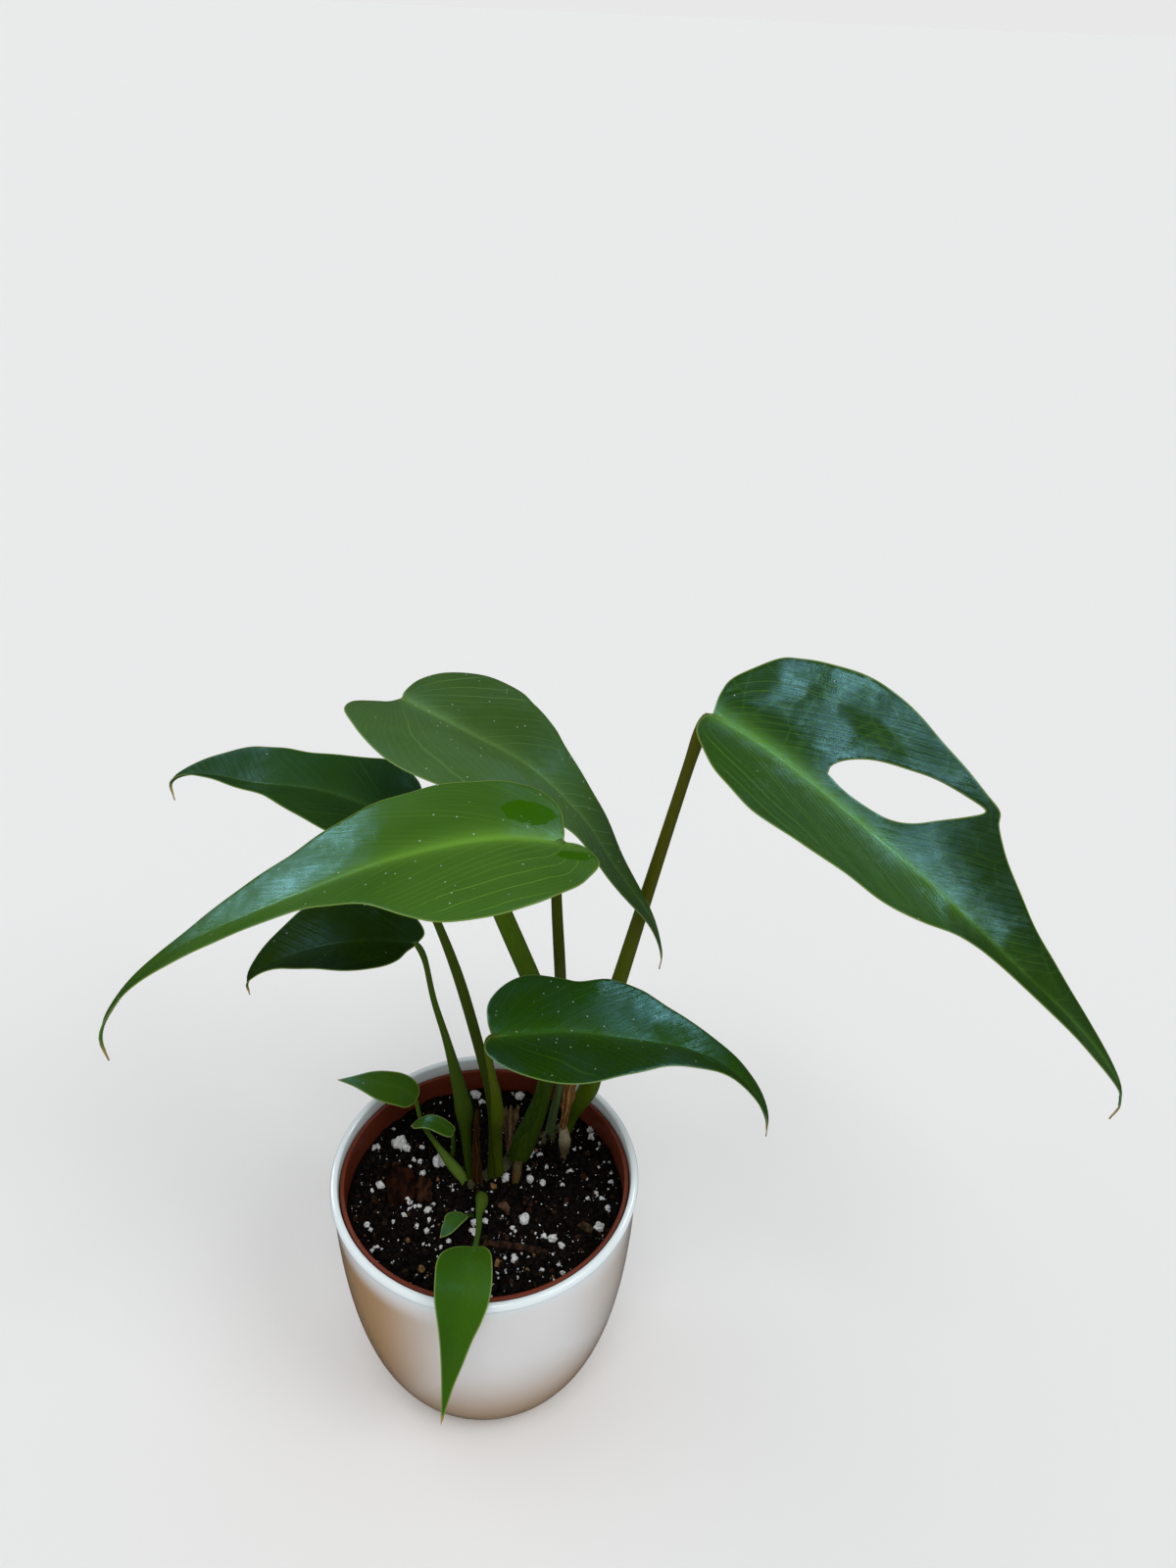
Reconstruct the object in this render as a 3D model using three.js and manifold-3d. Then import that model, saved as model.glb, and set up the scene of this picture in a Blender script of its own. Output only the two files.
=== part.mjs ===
// Potted Burle Marx flame monstera: a glazed pot, a nursery pot of soil in it, and a creeping stem that
// carries six large leaves and four small ones. Millimetres, +Z up, origin at the centre of the pot's base.
import * as THREE from "three";
import { mergeVertices } from "three/addons/utils/BufferGeometryUtils.js";
import Module from "manifold-3d";

const wasm = await Module();
wasm.setup();

// Driving dimensions
const CLEARANCE = 0.3; // gap between pieces that touch
const BLADE_THICKNESS = 0.7;

const POT = {
  height: 125,
  rimRadius: 67.5,
  lipDrop: 0.9, // how far the body lies inside the lip
  lipHeight: 4,
  wall: 3.2,
  baseRadius: 34,
  floor: 5,
  fullness: 2.35, // exponent of the body's rounded profile
  segments: 40,
};

const NURSERY = {
  rimHeight: 121.5,
  rimRadius: 63.3,
  rimInner: 61.5,
  lipHeight: 3.4,
  rimSlant: 0.038, // how far the rim drops towards the back for each unit
  wall: 1,
  collarRadius: 62.4, // upright band below the lip
  collarHeight: 99, // its lower edge
  collarStep: 1.2, // height of the step under it
  shoulderRadius: 60.4, // top of the tapering wall
  heelRadius: 40.5,
  heelHeight: 11,
  baseRadius: 31.5,
  segments: 32,
  drainHoles: 6,
  drainRadius: 3.5,
  drainRing: 22,
};

const SOIL = {
  level: 105.2,
  dish: 2.3, // how far the edge stands over the middle
  relief: 0.6,
  rings: 6,
  segments: 32,
  lumps: 38,
  lumpRadius: [1.2, 2.8],
  seed: 11,
};

// Leaves. rib: points of the midrib from the petiole to the drip tip. roll and twist: turn of the blade about
// its midrib, in degrees at the base and over its length. fold: upward slope of each half at base and tip.
// left and right: outline beside the midrib, as distance along it and distance from it. ribColumns and
// fanColumns: columns of cells along the midrib and over each back lobe.
const LEAVES = {
  a: {
    rib: [[83, 42, 336], [108, 25, 328], [142, -1, 312], [169, -19, 296], [190, -28, 280],
      [216, -33, 257], [236, -32, 232], [241, -33, 220], [239, -34, 212]],
    roll: -11, twist: 7, fold: [14, 14], arch: -0.29,
    left: [[-3, 9], [-2.5, 17.5], [6.5, 30], [14, 35], [23, 39], [38.5, 43.2], [58, 42.3], [79, 39.6],
      [93, 37.2], [100, 35.6], [103.2, 32], [109, 28.4], [118.5, 24], [136, 16.5], [152.5, 11.6],
      [177, 5.7], [205, 2.5]],
    right: [[-1, 7], [2, 16], [10, 26], [23, 38.5], [39, 45.5], [50, 45.5], [61, 42], [74, 37],
      [88, 33.5], [102, 25], [116, 12.5], [134, 7.5], [162, 7], [187, 6.5], [211, 3.5]],
    slot: [[46.5, 6.6], [45.5, 10], [47.5, 14.5], [52, 19], [57.5, 22.6], [65.5, 26.6], [74, 29.8],
      [85.5, 32.1], [94.5, 33.2], [96.3, 32], [93.4, 28], [87, 20.6], [80.4, 12.8], [73, 8.2],
      [63, 6.1], [54.5, 5.6]],
    ribColumns: 20,
  },
  b: {
    rib: [[-40, 82, 314], [-10, 57, 314], [14, 46, 307], [35, 40, 289], [50, 37, 266], [65, 34, 244],
      [71, 31, 228], [71, 30, 219]],
    roll: 4, twist: 5, fold: [14, 14], arch: 0.26,
    left: [[-3, 5], [-4.5, 14.5], [-1, 27], [8.5, 38], [22, 41.2], [36, 38.6], [53.5, 35], [65.5, 28.5],
      [79.5, 20], [93, 15], [108, 12.3], [128, 7], [153.5, 2.5]],
    right: [[1, 4], [1.5, 9], [-1.5, 14.5], [-5.5, 22], [-1, 29.5], [11.5, 34.5], [27, 39.8],
      [42.5, 43], [55.5, 40.5], [73, 28.5], [90, 18], [105, 15], [120.5, 13], [138.5, 9.5], [159.5, 4]],
    ribColumns: 16,
  },
  c: {
    rib: [[30, -4, 308], [5, -15, 316], [-27, -22, 311], [-61, -24, 295], [-99, -24, 273],
      [-120, -28, 258], [-132, -32, 243], [-137, -33, 231], [-136, -34, 220]],
    roll: 6, twist: -9, fold: [12, 12], arch: 0.1,
    left: [[-6, 2], [-8.5, 8], [-7, 15.5], [1, 23.8], [14.5, 33.4], [25.5, 41.4], [35.5, 44.7],
      [47, 43.3], [57, 35.5], [69, 24], [82, 16.8], [96.5, 11.5], [115, 10.5], [134, 10.6], [157.5, 10],
      [181.5, 5.5]],
    right: [[-2, 6], [-3, 16.5], [3, 25.5], [12.5, 28], [27.5, 28], [49.5, 28.8], [70, 28.8], [86, 25],
      [102.5, 20.8], [119, 16.4], [137.5, 10], [152.5, 5.2], [171, 3], [196, 3]],
    ribColumns: 20,
  },
  d: {
    rib: [[-43, 72, 262], [-55, 70, 268], [-70, 72, 272], [-87, 76, 272], [-106, 83, 268],
      [-125, 96, 262], [-144, 107, 255], [-154, 110, 248], [-153, 107, 240]],
    roll: 12, twist: 0, fold: [14, 40], arch: 0,
    left: [[-6, 8], [-8, 16], [0, 27], [10, 33], [22, 34], [34, 28.4], [50, 18], [64, 12], [80, 8.5],
      [100, 6], [118, 3]],
    right: [[-8, 8], [-8, 18], [0, 24.5], [14, 24.4], [30, 19.4], [45, 17.8], [60, 18.5], [80, 16.6],
      [100, 10.4], [119, 3.5]],
    ribColumns: 14,
  },
  e: {
    rib: [[-29, 25, 232], [-46, 21, 236], [-63, 21, 233], [-80, 23, 225], [-92, 25, 216],
      [-102, 27, 205], [-102, 26, 198]],
    roll: 5, twist: 3, fold: [14, 14], arch: -0.41,
    left: [[2, 3], [6, 8], [11, 17], [17, 24.6], [23, 26.4], [32, 22], [46, 15], [60, 7.9], [72, 3.6],
      [81, 2.5]],
    right: [[-3, 5], [0, 11], [8, 17.5], [20, 22], [34, 22], [48, 19.5], [60, 14.5], [74, 10],
      [86, 4.2]],
    ribColumns: 12,
  },
  f: {
    rib: [[5, -15, 222], [34, -15, 226], [57, -14, 223], [80, -11, 216], [96, -11, 208], [108, -13, 196],
      [115, -16, 184], [116, -18, 175]],
    roll: -2, twist: 2, fold: [14, 14], arch: 0.16,
    left: [[-2, 7], [-2, 15.6], [4, 24.4], [13, 28], [26, 25.4], [34, 23.6], [47, 27], [60, 24.2],
      [72, 17], [89, 9.4], [105, 7], [122, 4.6]],
    right: [[-2, 5], [0, 12], [9, 21], [24, 29], [37, 29.2], [50, 22.8], [65, 14.6], [82, 11], [97, 7],
      [115, 3.6]],
    ribColumns: 14,
  },
  g: {
    rib: [[-33, 22, 142], [-39, 24, 146], [-46, 25, 147], [-56, 29, 145], [-71, 34, 139]],
    roll: 14, twist: 0, fold: [12, 12], arch: 0,
    left: [[0, 3], [3, 7.5], [11, 9], [23, 6.5], [33, 3]],
    right: [[1, 3.5], [6, 6], [17, 6], [33, 2]],
    ribColumns: 7,
  },
  h: {
    rib: [[-15, 9, 136.5], [-21, 10, 140.5], [-27, 12, 139.5], [-34.5, 14, 133.5]],
    roll: 12, twist: 0, fold: [10, 10], arch: 0,
    left: [[0, 2.2], [3, 4], [8, 4.5], [19, 3]],
    right: [[0, 1.8], [2.5, 2.7], [8, 3], [15, 3], [21, 2]],
    ribColumns: 6,
  },
  i: {
    rib: [[0, -44, 131], [-2, -54, 134], [-2, -64, 133], [-3, -73, 124], [-5, -80, 112], [-7, -85, 101],
      [-9, -93, 87]],
    roll: 0, twist: 0, fold: [10, 10], arch: 0,
    left: [[-1, 3], [2, 7], [10, 10], [22, 10.5], [31, 8.5], [39, 6], [50, 4], [62, 2]],
    right: [[1, 3], [4, 7], [10, 11.5], [17, 12], [26, 11], [40, 7], [50, 4.5], [62, 2]],
    ribColumns: 9,
  },
  j: {
    rib: [[-7.5, -14.5, 111], [-12, -20.4, 112], [-15, -23.2, 111], [-17.4, -25.2, 109.5]],
    roll: -10, twist: 0, fold: [8, 8], arch: 0,
    left: [[0.5, 1.8], [5, 2.4], [10, 2.8], [12.5, 2]],
    right: [[0.5, 3.2], [3, 5.8], [6, 6.3], [9, 4.8], [12, 3]],
    ribColumns: 5,
    fanColumns: 2,
  },
};

// Petioles: x, y, z and radius from the root end to the blade. The wide lower stretches are leaf sheaths.
const PETIOLES = {
  a: [[34, 37.5, 104, 2.6], [37.4, 39, 115, 2.5], [41.6, 39, 128, 4.2], [45, 39.3, 140, 4.8],
    [49, 40, 172, 3.9], [55, 40, 203, 3.3], [63, 41, 245, 2.8], [72, 42, 292, 2.4], [79, 42, 328, 2.2],
    [82, 42, 335, 2], [83, 42, 336, 2]],
  b: [[12, 22, 104, 5.4], [15.5, 24, 115, 5.8], [19.5, 27, 126, 4.9], [23.5, 31, 140, 3.9],
    [25.5, 36, 158, 3.9], [22, 43, 181, 4.2], [16, 47, 196, 4.3], [0, 57, 232, 4], [-11, 65, 259, 3.5],
    [-24, 74, 287, 2.9], [-36, 82, 309, 2.4], [-40, 82, 314, 2]],
  c: [[26.5, 37, 104, 2.2], [28.3, 35.5, 121, 2.1], [30.6, 33, 144, 1.9], [31, 25, 186, 2.2],
    [30, 18, 222, 2.3], [28, 6, 270, 2.1], [28, 0, 293, 1.9], [30, -4, 308, 1.8]],
  d: [[2.5, 10, 103, 3.3], [3, 15, 118, 3.4], [2.3, 20, 134, 3.1], [-2, 28, 153, 2.5],
    [-14, 43, 192, 2.3], [-25, 54, 218, 1.8], [-33, 60, 233, 1.7], [-43, 72, 262, 1.7]],
  e: [[-7.5, 10, 103, 2.1], [-9.3, 11.5, 120, 2], [-10.2, 13.5, 134, 2.7], [-10.6, 14.8, 144, 4.1],
    [-12.5, 16.3, 156, 3.2], [-15.5, 18, 172, 2.2], [-18.5, 19.5, 186, 1.6], [-23, 22, 204, 1.3],
    [-26, 24, 224, 1.2], [-29, 25, 232, 1.2]],
  f: [[5, 9, 110, 2.2], [4, 11, 132, 2.4], [5, 4, 154, 2.8], [5, -1, 173, 2.2], [4, -7, 192, 1.6],
    [3, -13, 214, 1.5], [5, -15, 222, 1.5]],
  g: [[-11, 8, 98, 2.4], [-12, 9, 106, 2.6], [-17, 11.5, 112, 2.5], [-24, 15, 121, 1.2], [-30, 18, 131, 1],
    [-33, 22, 142, 0.9]],
  h: [[-18, 17, 99, 1], [-18, 16.5, 106, 1], [-16, 14, 118, 0.9], [-15, 9, 136.5, 0.8]],
  i: [[-2, 0, 98, 2.2], [-2, -1.5, 106, 2.7], [-1, -8, 112, 2.8], [-1, -19, 118, 1.4], [0, -30, 124, 1.2],
    [0, -44, 131, 1.1]],
  j: [[-5, -9, 99, 0.9], [-5, -10, 105, 0.9], [-7.2, -14, 110.2, 0.8]],
};
const PETIOLE_SIDES = 8;
const PETIOLE_STEP = 14; // length of one ring of a petiole

// Creeping stem, half sunk in the soil, and its aerial roots
const STEM = [[-12, 6, 100, 3.5], [-5, 9, 101.5, 5.6], [4, 13, 102, 5.4], [13, 24, 102, 5.6],
  [21, 31, 102, 4.8], [29, 37, 103, 5], [34, 38.5, 105, 4.2]];
const ROOTS = {
  right: [[33, 36, 111, 1.8], [34, 31, 109, 2.8], [34, 26, 106, 2.5], [34, 21, 101, 1.6]],
  middle: [[13, 18, 107, 1.8], [13, 13, 107.5, 2.2], [12.6, 9, 105, 1.8], [12.5, 7, 100, 1.2]],
};

// Dry papery sheaths: spine of the strip, its half widths at both ends and the bow of its section
const SHEATHS = {
  right: { spine: [[33, 33.5, 114], [33.8, 33.8, 126], [36, 34.5, 147]], halfWidths: [1.2, 4], bow: 1.4 },
  middle: { spine: [[8.2, 17, 115], [8.8, 17.5, 131], [9.6, 18.5, 144]], halfWidths: [0.8, 4.2], bow: 1.4 },
  left: { spine: [[-4.6, 6.5, 106], [-4.8, 8, 128], [-4.4, 9.5, 150]], halfWidths: [2.2, 1.1], bow: 0.8 },
};

// Wood bits on the soil: centre, half length, half width, half height and turn about the vertical in degrees
const CHIPS = {
  bark_chip_large: { at: [-38.8, 2.5, 106], half: [6.3, 10, 1.6], turn: 10 },
  bark_chip_small: { at: [-27.9, 1, 106], half: [3.5, 6.6, 1.3], turn: 10 },
  bark_stick: { at: [16.2, -26.3, 106], half: [13.5, 1.6, 1.3], turn: -8 },
  wood_bit_middle: { at: [9, -6, 105.4], half: [3.2, 1.8, 1], turn: -35 },
  wood_bit_right: { at: [45, -15, 106.2], half: [3.4, 1.9, 1.1], turn: -30 },
};

const MATERIALS = {
  glaze: new THREE.MeshStandardMaterial({ color: "#efece8", roughness: 0.12, metalness: 0 }),
  terracotta: new THREE.MeshStandardMaterial({ color: "#5b2c1e", roughness: 0.45, metalness: 0 }),
  soil: new THREE.MeshStandardMaterial({ color: "#17110d", roughness: 0.95, metalness: 0 }),
  leaf: new THREE.MeshStandardMaterial({ color: "#2f5a22", roughness: 0.35, metalness: 0 }),
  youngLeaf: new THREE.MeshStandardMaterial({ color: "#3f7a22", roughness: 0.35, metalness: 0 }),
  petiole: new THREE.MeshStandardMaterial({ color: "#4c6420", roughness: 0.4, metalness: 0 }),
  stem: new THREE.MeshStandardMaterial({ color: "#7d8a4e", roughness: 0.6, metalness: 0 }),
  paper: new THREE.MeshStandardMaterial({ color: "#8a6240", roughness: 0.85, metalness: 0 }),
  root: new THREE.MeshStandardMaterial({ color: "#8d7446", roughness: 0.8, metalness: 0 }),
  bark: new THREE.MeshStandardMaterial({ color: "#3a1f15", roughness: 0.9, metalness: 0 }),
};

// Repeatable random numbers from 0 to 1
function randomSource(seed) {
  let state = seed;
  return () => {
    state = (state * 1664525 + 1013904223) % 4294967296;
    return state / 4294967296;
  };
}

const lerp = THREE.MathUtils.lerp;
const vec = (p) => new THREE.Vector3(p[0], p[1], p[2]);

// Closed geometry to solid, and back
function solidFrom(geometry) {
  const bare = geometry.clone();
  for (const name of Object.keys(bare.attributes)) {
    if (name !== "position") bare.deleteAttribute(name);
  }
  const merged = mergeVertices(bare, 1e-4);
  return new wasm.Manifold(
    new wasm.Mesh({
      numProp: 3,
      vertProperties: new Float32Array(merged.attributes.position.array),
      triVerts: new Uint32Array(merged.index.array),
    }),
  );
}

function geometryFrom(solid) {
  const mesh = solid.getMesh();
  const positions = new Float32Array(mesh.numVert * 3);
  for (let i = 0; i < mesh.numVert; i++) {
    positions.set(mesh.vertProperties.subarray(i * mesh.numProp, i * mesh.numProp + 3), i * 3);
  }
  const geometry = new THREE.BufferGeometry();
  geometry.setAttribute("position", new THREE.BufferAttribute(positions, 3));
  geometry.setIndex(new THREE.BufferAttribute(new Uint32Array(mesh.triVerts), 1));
  geometry.computeVertexNormals();
  return geometry;
}

// The largest body of a solid, without the scraps that a cut leaves
function largest(solid) {
  return solid.decompose().sort((a, b) => b.volume() - a.volume())[0];
}

function geometryFromLists(points, triangles) {
  const geometry = new THREE.BufferGeometry();
  const flat = points.flatMap((p) => [p.x, p.y, p.z]);
  geometry.setAttribute("position", new THREE.Float32BufferAttribute(flat, 3));
  geometry.setIndex(triangles.flat());
  return geometry;
}

// Solid from lists of points and triangles, with its faces turned outwards
function closedSolid(points, triangles) {
  const solid = solidFrom(geometryFromLists(points, triangles));
  if (solid.volume() > 0) return solid;
  return solidFrom(geometryFromLists(points, triangles.map(([a, b, c]) => [a, c, b])));
}

// Catmull-Rom curve through plain points, sampled evenly between each pair
function smoothPoints(points, steps) {
  const count = points.length;
  const size = points[0].length;
  const mirrored = (a, b) => a.map((v, i) => 2 * v - b[i]);
  const padded = [
    mirrored(points[0], points[1]),
    ...points,
    mirrored(points[count - 1], points[count - 2]),
  ];
  const out = [];
  for (let i = 0; i < count - 1; i++) {
    const [a, b, c, d] = padded.slice(i, i + 4);
    for (let k = 0; k < steps; k++) {
      const t = k / steps;
      const at = (n) =>
        0.5 *
        (2 * b[n] +
          (c[n] - a[n]) * t +
          (2 * a[n] - 5 * b[n] + 4 * c[n] - d[n]) * t * t +
          (3 * b[n] - a[n] - 3 * c[n] + d[n]) * t * t * t);
      out.push(Array.from({ length: size }, (_, n) => at(n)));
    }
  }
  out.push([...points[count - 1]]);
  return out;
}

// A curve in space with its length and an untwisted frame at every sample
function framedCurve(points, steps) {
  const samples = smoothPoints(points, steps).map(vec);
  const lengths = [0];
  for (let i = 1; i < samples.length; i++) {
    lengths.push(lengths[i - 1] + samples[i].distanceTo(samples[i - 1]));
  }
  const last = samples.length - 1;
  const tangents = samples.map((_, i) =>
    samples[Math.min(i + 1, last)].clone().sub(samples[Math.max(i - 1, 0)]).normalize(),
  );
  const across = (v, tangent) => v.clone().addScaledVector(tangent, -v.dot(tangent)).normalize();
  const steep = Math.abs(tangents[0].z) > 0.9;
  const ups = [across(steep ? vec([0, -1, 0]) : vec([0, 0, 1]), tangents[0])];
  for (let i = 1; i < samples.length; i++) ups.push(across(ups[i - 1], tangents[i]));
  return { samples, lengths, tangents, ups, length: lengths[last] };
}

function frameAt(curve, distance) {
  const d = THREE.MathUtils.clamp(distance, 0, curve.length);
  const i = Math.max(1, curve.lengths.findIndex((v) => v >= d));
  const t = (d - curve.lengths[i - 1]) / (curve.lengths[i] - curve.lengths[i - 1]);
  const mix = (list) => list[i - 1].clone().lerp(list[i], t);
  const tangent = mix(curve.tangents).normalize();
  const up = mix(curve.ups).normalize();
  const point = mix(curve.samples).addScaledVector(tangent, Math.min(distance, 0));
  return { point, tangent, up, side: up.clone().cross(tangent) };
}

// A sheet of triangles thickened to both sides and closed along its edges. grow widens it all round.
function thickened(points, triangles, thickness, grow = 0) {
  const sheet = geometryFromLists(points, triangles);
  sheet.computeVertexNormals();
  const normals = points.map((_, i) => new THREE.Vector3().fromBufferAttribute(sheet.attributes.normal, i));
  const count = points.length;
  const edges = new Map();
  for (const t of triangles) {
    for (let k = 0; k < 3; k++) {
      edges.set(t[k] + "," + t[(k + 1) % 3], [t[k], t[(k + 1) % 3]]);
    }
  }
  const open = [...edges.values()].filter(([a, b]) => !edges.has(b + "," + a));
  const outward = points.map(() => new THREE.Vector3());
  for (const [a, b] of open) {
    const along = points[b].clone().sub(points[a]).normalize();
    for (const i of [a, b]) outward[i].add(along.clone().cross(normals[i]));
  }
  const shifted = (side) =>
    points.map((p, i) =>
      p
        .clone()
        .addScaledVector(normals[i], side * (thickness / 2 + grow))
        .addScaledVector(outward[i].clone().normalize(), grow),
    );
  const all = [
    ...triangles,
    ...triangles.map(([a, b, c]) => [a + count, c + count, b + count]),
    ...open.flatMap(([a, b]) => [
      [b, a, a + count],
      [b, a + count, b + count],
    ]),
  ];
  return geometryFromLists([...shifted(1), ...shifted(-1)], all);
}

// Outline of one half as points along and beside the midrib, from the petiole round to the tip
function halfOutline(leaf, curve, side) {
  const shape = side > 0 ? leaf.left : leaf.right;
  return smoothPoints([[0, 0], ...shape, [curve.length, 0]], 8);
}

function bladeSurface(leaf) {
  const curve = framedCurve(leaf.rib, 16);
  const rad = THREE.MathUtils.degToRad;
  return {
    curve,
    at(along, beside) {
      const frame = frameAt(curve, along);
      const part = THREE.MathUtils.clamp(along, 0, curve.length) / curve.length;
      const turn = rad(leaf.roll + leaf.twist * part);
      const normal = frame.up.clone().multiplyScalar(Math.cos(turn));
      normal.addScaledVector(frame.side, Math.sin(turn));
      const side = normal.clone().cross(frame.tangent);
      const fold = rad(lerp(leaf.fold[0], leaf.fold[1], part));
      const reach = Math.abs(beside);
      const rise = reach * Math.sin(fold) - (leaf.arch * reach * reach) / 60;
      const point = frame.point.addScaledVector(side, beside * Math.cos(fold));
      return { point: point.addScaledVector(normal, rise), normal };
    },
  };
}

const VEIN_SLANT = 0.9; // how far a side vein runs forward for each unit it runs out
const FAN_COLUMNS = 5; // unless a leaf states its own
const LEVELS = 3; // cells from the midrib to the margin
const SINUS_SHARE = 0.25; // part of a back lobe's outline that borders the notch at the petiole
const LAST_START = 0.985; // where the last column leaves the midrib, as a share of its length

// Where the grid columns of one half start on the midrib and end on the outline
function bladeColumns(leaf, curve, side) {
  const { ribColumns, fanColumns = FAN_COLUMNS } = leaf;
  const outline = halfOutline(leaf, curve, side);
  const lead = (p) => p[0] - VEIN_SLANT * p[1];
  let turn = outline.length - 1;
  while (turn > 1 && lead(outline[turn - 1]) > 0) turn--;
  const columns = [];
  const firstEdge = Math.max(LEVELS, Math.round(turn * SINUS_SHARE));
  const sinus = Array.from({ length: LEVELS + 1 }, (_, j) => outline[Math.round((firstEdge * j) / LEVELS)]);
  columns.push(sinus);
  const straight = (from, to) =>
    Array.from({ length: LEVELS + 1 }, (_, j) => {
      const f = j / LEVELS;
      return [lerp(from[0], to[0], f), lerp(from[1], to[1], f)];
    });
  for (let k = 1; k < fanColumns; k++) {
    const i = Math.round(lerp(firstEdge, turn, k / fanColumns));
    columns.push(straight([0, 0], outline[i]));
  }
  for (let k = 0; k < ribColumns; k++) {
    const start = curve.length * (k / ribColumns) * LAST_START;
    let i = turn;
    while (i < outline.length - 2 && lead(outline[i + 1]) < start) i++;
    const [p, q] = [outline[i], outline[i + 1]];
    const t = THREE.MathUtils.clamp((start - lead(p)) / (lead(q) - lead(p)), 0, 1);
    columns.push(straight([start, 0], [lerp(p[0], q[0], t), lerp(p[1], q[1], t)]));
  }
  return columns;
}

// The blade as one thin closed body. grow widens it evenly, for cutting its seat in a neighbour.
function bladeSolid(leaf, grow = 0) {
  const surface = bladeSurface(leaf);
  const points = [];
  const triangles = [];
  const known = new Map();
  const put = (key, along, beside) => {
    if (!known.has(key)) {
      known.set(key, points.length);
      points.push(surface.at(along, beside).point);
    }
    return known.get(key);
  };
  for (const side of [1, -1]) {
    const columns = bladeColumns(leaf, surface.curve, side);
    const grid = columns.map((column, k) =>
      column.map(([along, beside], j) => {
        if (j > 0) return put(side + ":" + k + ":" + j, along, side * beside);
        return along <= 0 ? put("base", 0, 0) : put("rib" + k, along, 0);
      }),
    );
    const tip = put("tip", surface.curve.length, 0);
    grid.push(Array(LEVELS + 1).fill(tip));
    const add = (a, b, c) => {
      if (a === b || b === c || a === c) return;
      triangles.push(side > 0 ? [a, b, c] : [a, c, b]);
    };
    for (let k = 0; k + 1 < grid.length; k++) {
      for (let j = 0; j < LEVELS; j++) {
        add(grid[k][j], grid[k + 1][j], grid[k + 1][j + 1]);
        add(grid[k][j], grid[k + 1][j + 1], grid[k][j + 1]);
      }
    }
  }
  const solid = solidFrom(thickened(points, triangles, BLADE_THICKNESS, grow));
  if (leaf.slot && grow === 0) return largest(solid.subtract(slotCutter(leaf, surface)));
  return solid;
}

// A plug that runs through the blade along the outline of its slot
function slotCutter(leaf, surface) {
  const reach = 9;
  const rim = smoothPoints([...leaf.slot, leaf.slot[0]], 2).slice(0, -1);
  const count = rim.length;
  const points = [];
  for (const level of [-reach, reach]) {
    for (const [along, beside] of rim) {
      const { point, normal } = surface.at(along, beside);
      points.push(point.addScaledVector(normal, level));
    }
  }
  const centre = (from) => {
    const sum = new THREE.Vector3();
    for (let i = 0; i < count; i++) sum.add(points[from + i]);
    return sum.divideScalar(count);
  };
  points.push(centre(0), centre(count));
  const triangles = [];
  for (let i = 0; i < count; i++) {
    const next = (i + 1) % count;
    triangles.push([next, i, 2 * count]);
    triangles.push([i + count, next + count, 2 * count + 1]);
    triangles.push([i, next, next + count], [i, next + count, i + count]);
  }
  return closedSolid(points, triangles);
}

// A tapering round shoot along a curve, closed at both ends
function shootSolid(path, { sides = PETIOLE_SIDES, step = PETIOLE_STEP, grow = 0 } = {}) {
  const curve = framedCurve(path, 8);
  const dense = smoothPoints(path, 8);
  const count = Math.max(3, Math.round(curve.length / step));
  const points = [];
  const triangles = [];
  for (let k = 0; k <= count; k++) {
    const distance = lerp(-grow, curve.length + grow, k / count);
    const frame = frameAt(curve, distance);
    if (distance > curve.length) frame.point.addScaledVector(frame.tangent, distance - curve.length);
    const travelled = THREE.MathUtils.clamp(distance, 0, curve.length) - 1e-6;
    const sample = curve.lengths.findIndex((v) => v >= travelled);
    const radius = dense[sample][3] + grow;
    for (let s = 0; s < sides; s++) {
      const angle = (s / sides) * Math.PI * 2;
      const point = frame.point.clone();
      point.addScaledVector(frame.side, radius * Math.cos(angle));
      point.addScaledVector(frame.up, radius * Math.sin(angle));
      points.push(point);
    }
  }
  const ring = (k, s) => k * sides + (s % sides);
  for (let k = 0; k < count; k++) {
    for (let s = 0; s < sides; s++) {
      triangles.push([ring(k, s), ring(k, s + 1), ring(k + 1, s + 1)]);
      triangles.push([ring(k, s), ring(k + 1, s + 1), ring(k + 1, s)]);
    }
  }
  const ends = [points.length, points.length + 1];
  points.push(frameAt(curve, -grow).point);
  const tip = frameAt(curve, curve.length);
  points.push(tip.point.addScaledVector(tip.tangent, grow));
  for (let s = 0; s < sides; s++) {
    triangles.push([ring(0, s + 1), ring(0, s), ends[0]]);
    triangles.push([ring(count, s), ring(count, s + 1), ends[1]]);
  }
  return closedSolid(points, triangles);
}

// A dry sheath: a bowed strip that narrows to its ragged top
function sheathSolid({ spine, halfWidths, bow }) {
  const curve = framedCurve(spine, 6);
  const rows = 6;
  const columns = 4;
  const points = [];
  const triangles = [];
  for (let k = 0; k <= rows; k++) {
    const part = k / rows;
    const frame = frameAt(curve, curve.length * part);
    const half = lerp(halfWidths[0], halfWidths[1], part);
    for (let j = 0; j <= columns; j++) {
      const u = (2 * j) / columns - 1;
      const ragged = k === rows ? (j % 2 ? 2.2 : 0) : 0;
      const point = frame.point.clone().addScaledVector(frame.side, u * half);
      point.addScaledVector(frame.up, bow * (1 - u * u)).addScaledVector(frame.tangent, ragged);
      points.push(point);
    }
  }
  const id = (k, j) => k * (columns + 1) + j;
  for (let k = 0; k < rows; k++) {
    for (let j = 0; j < columns; j++) {
      triangles.push([id(k, j), id(k + 1, j), id(k + 1, j + 1)]);
      triangles.push([id(k, j), id(k + 1, j + 1), id(k, j + 1)]);
    }
  }
  return solidFrom(thickened(points, triangles, BLADE_THICKNESS));
}

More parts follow.
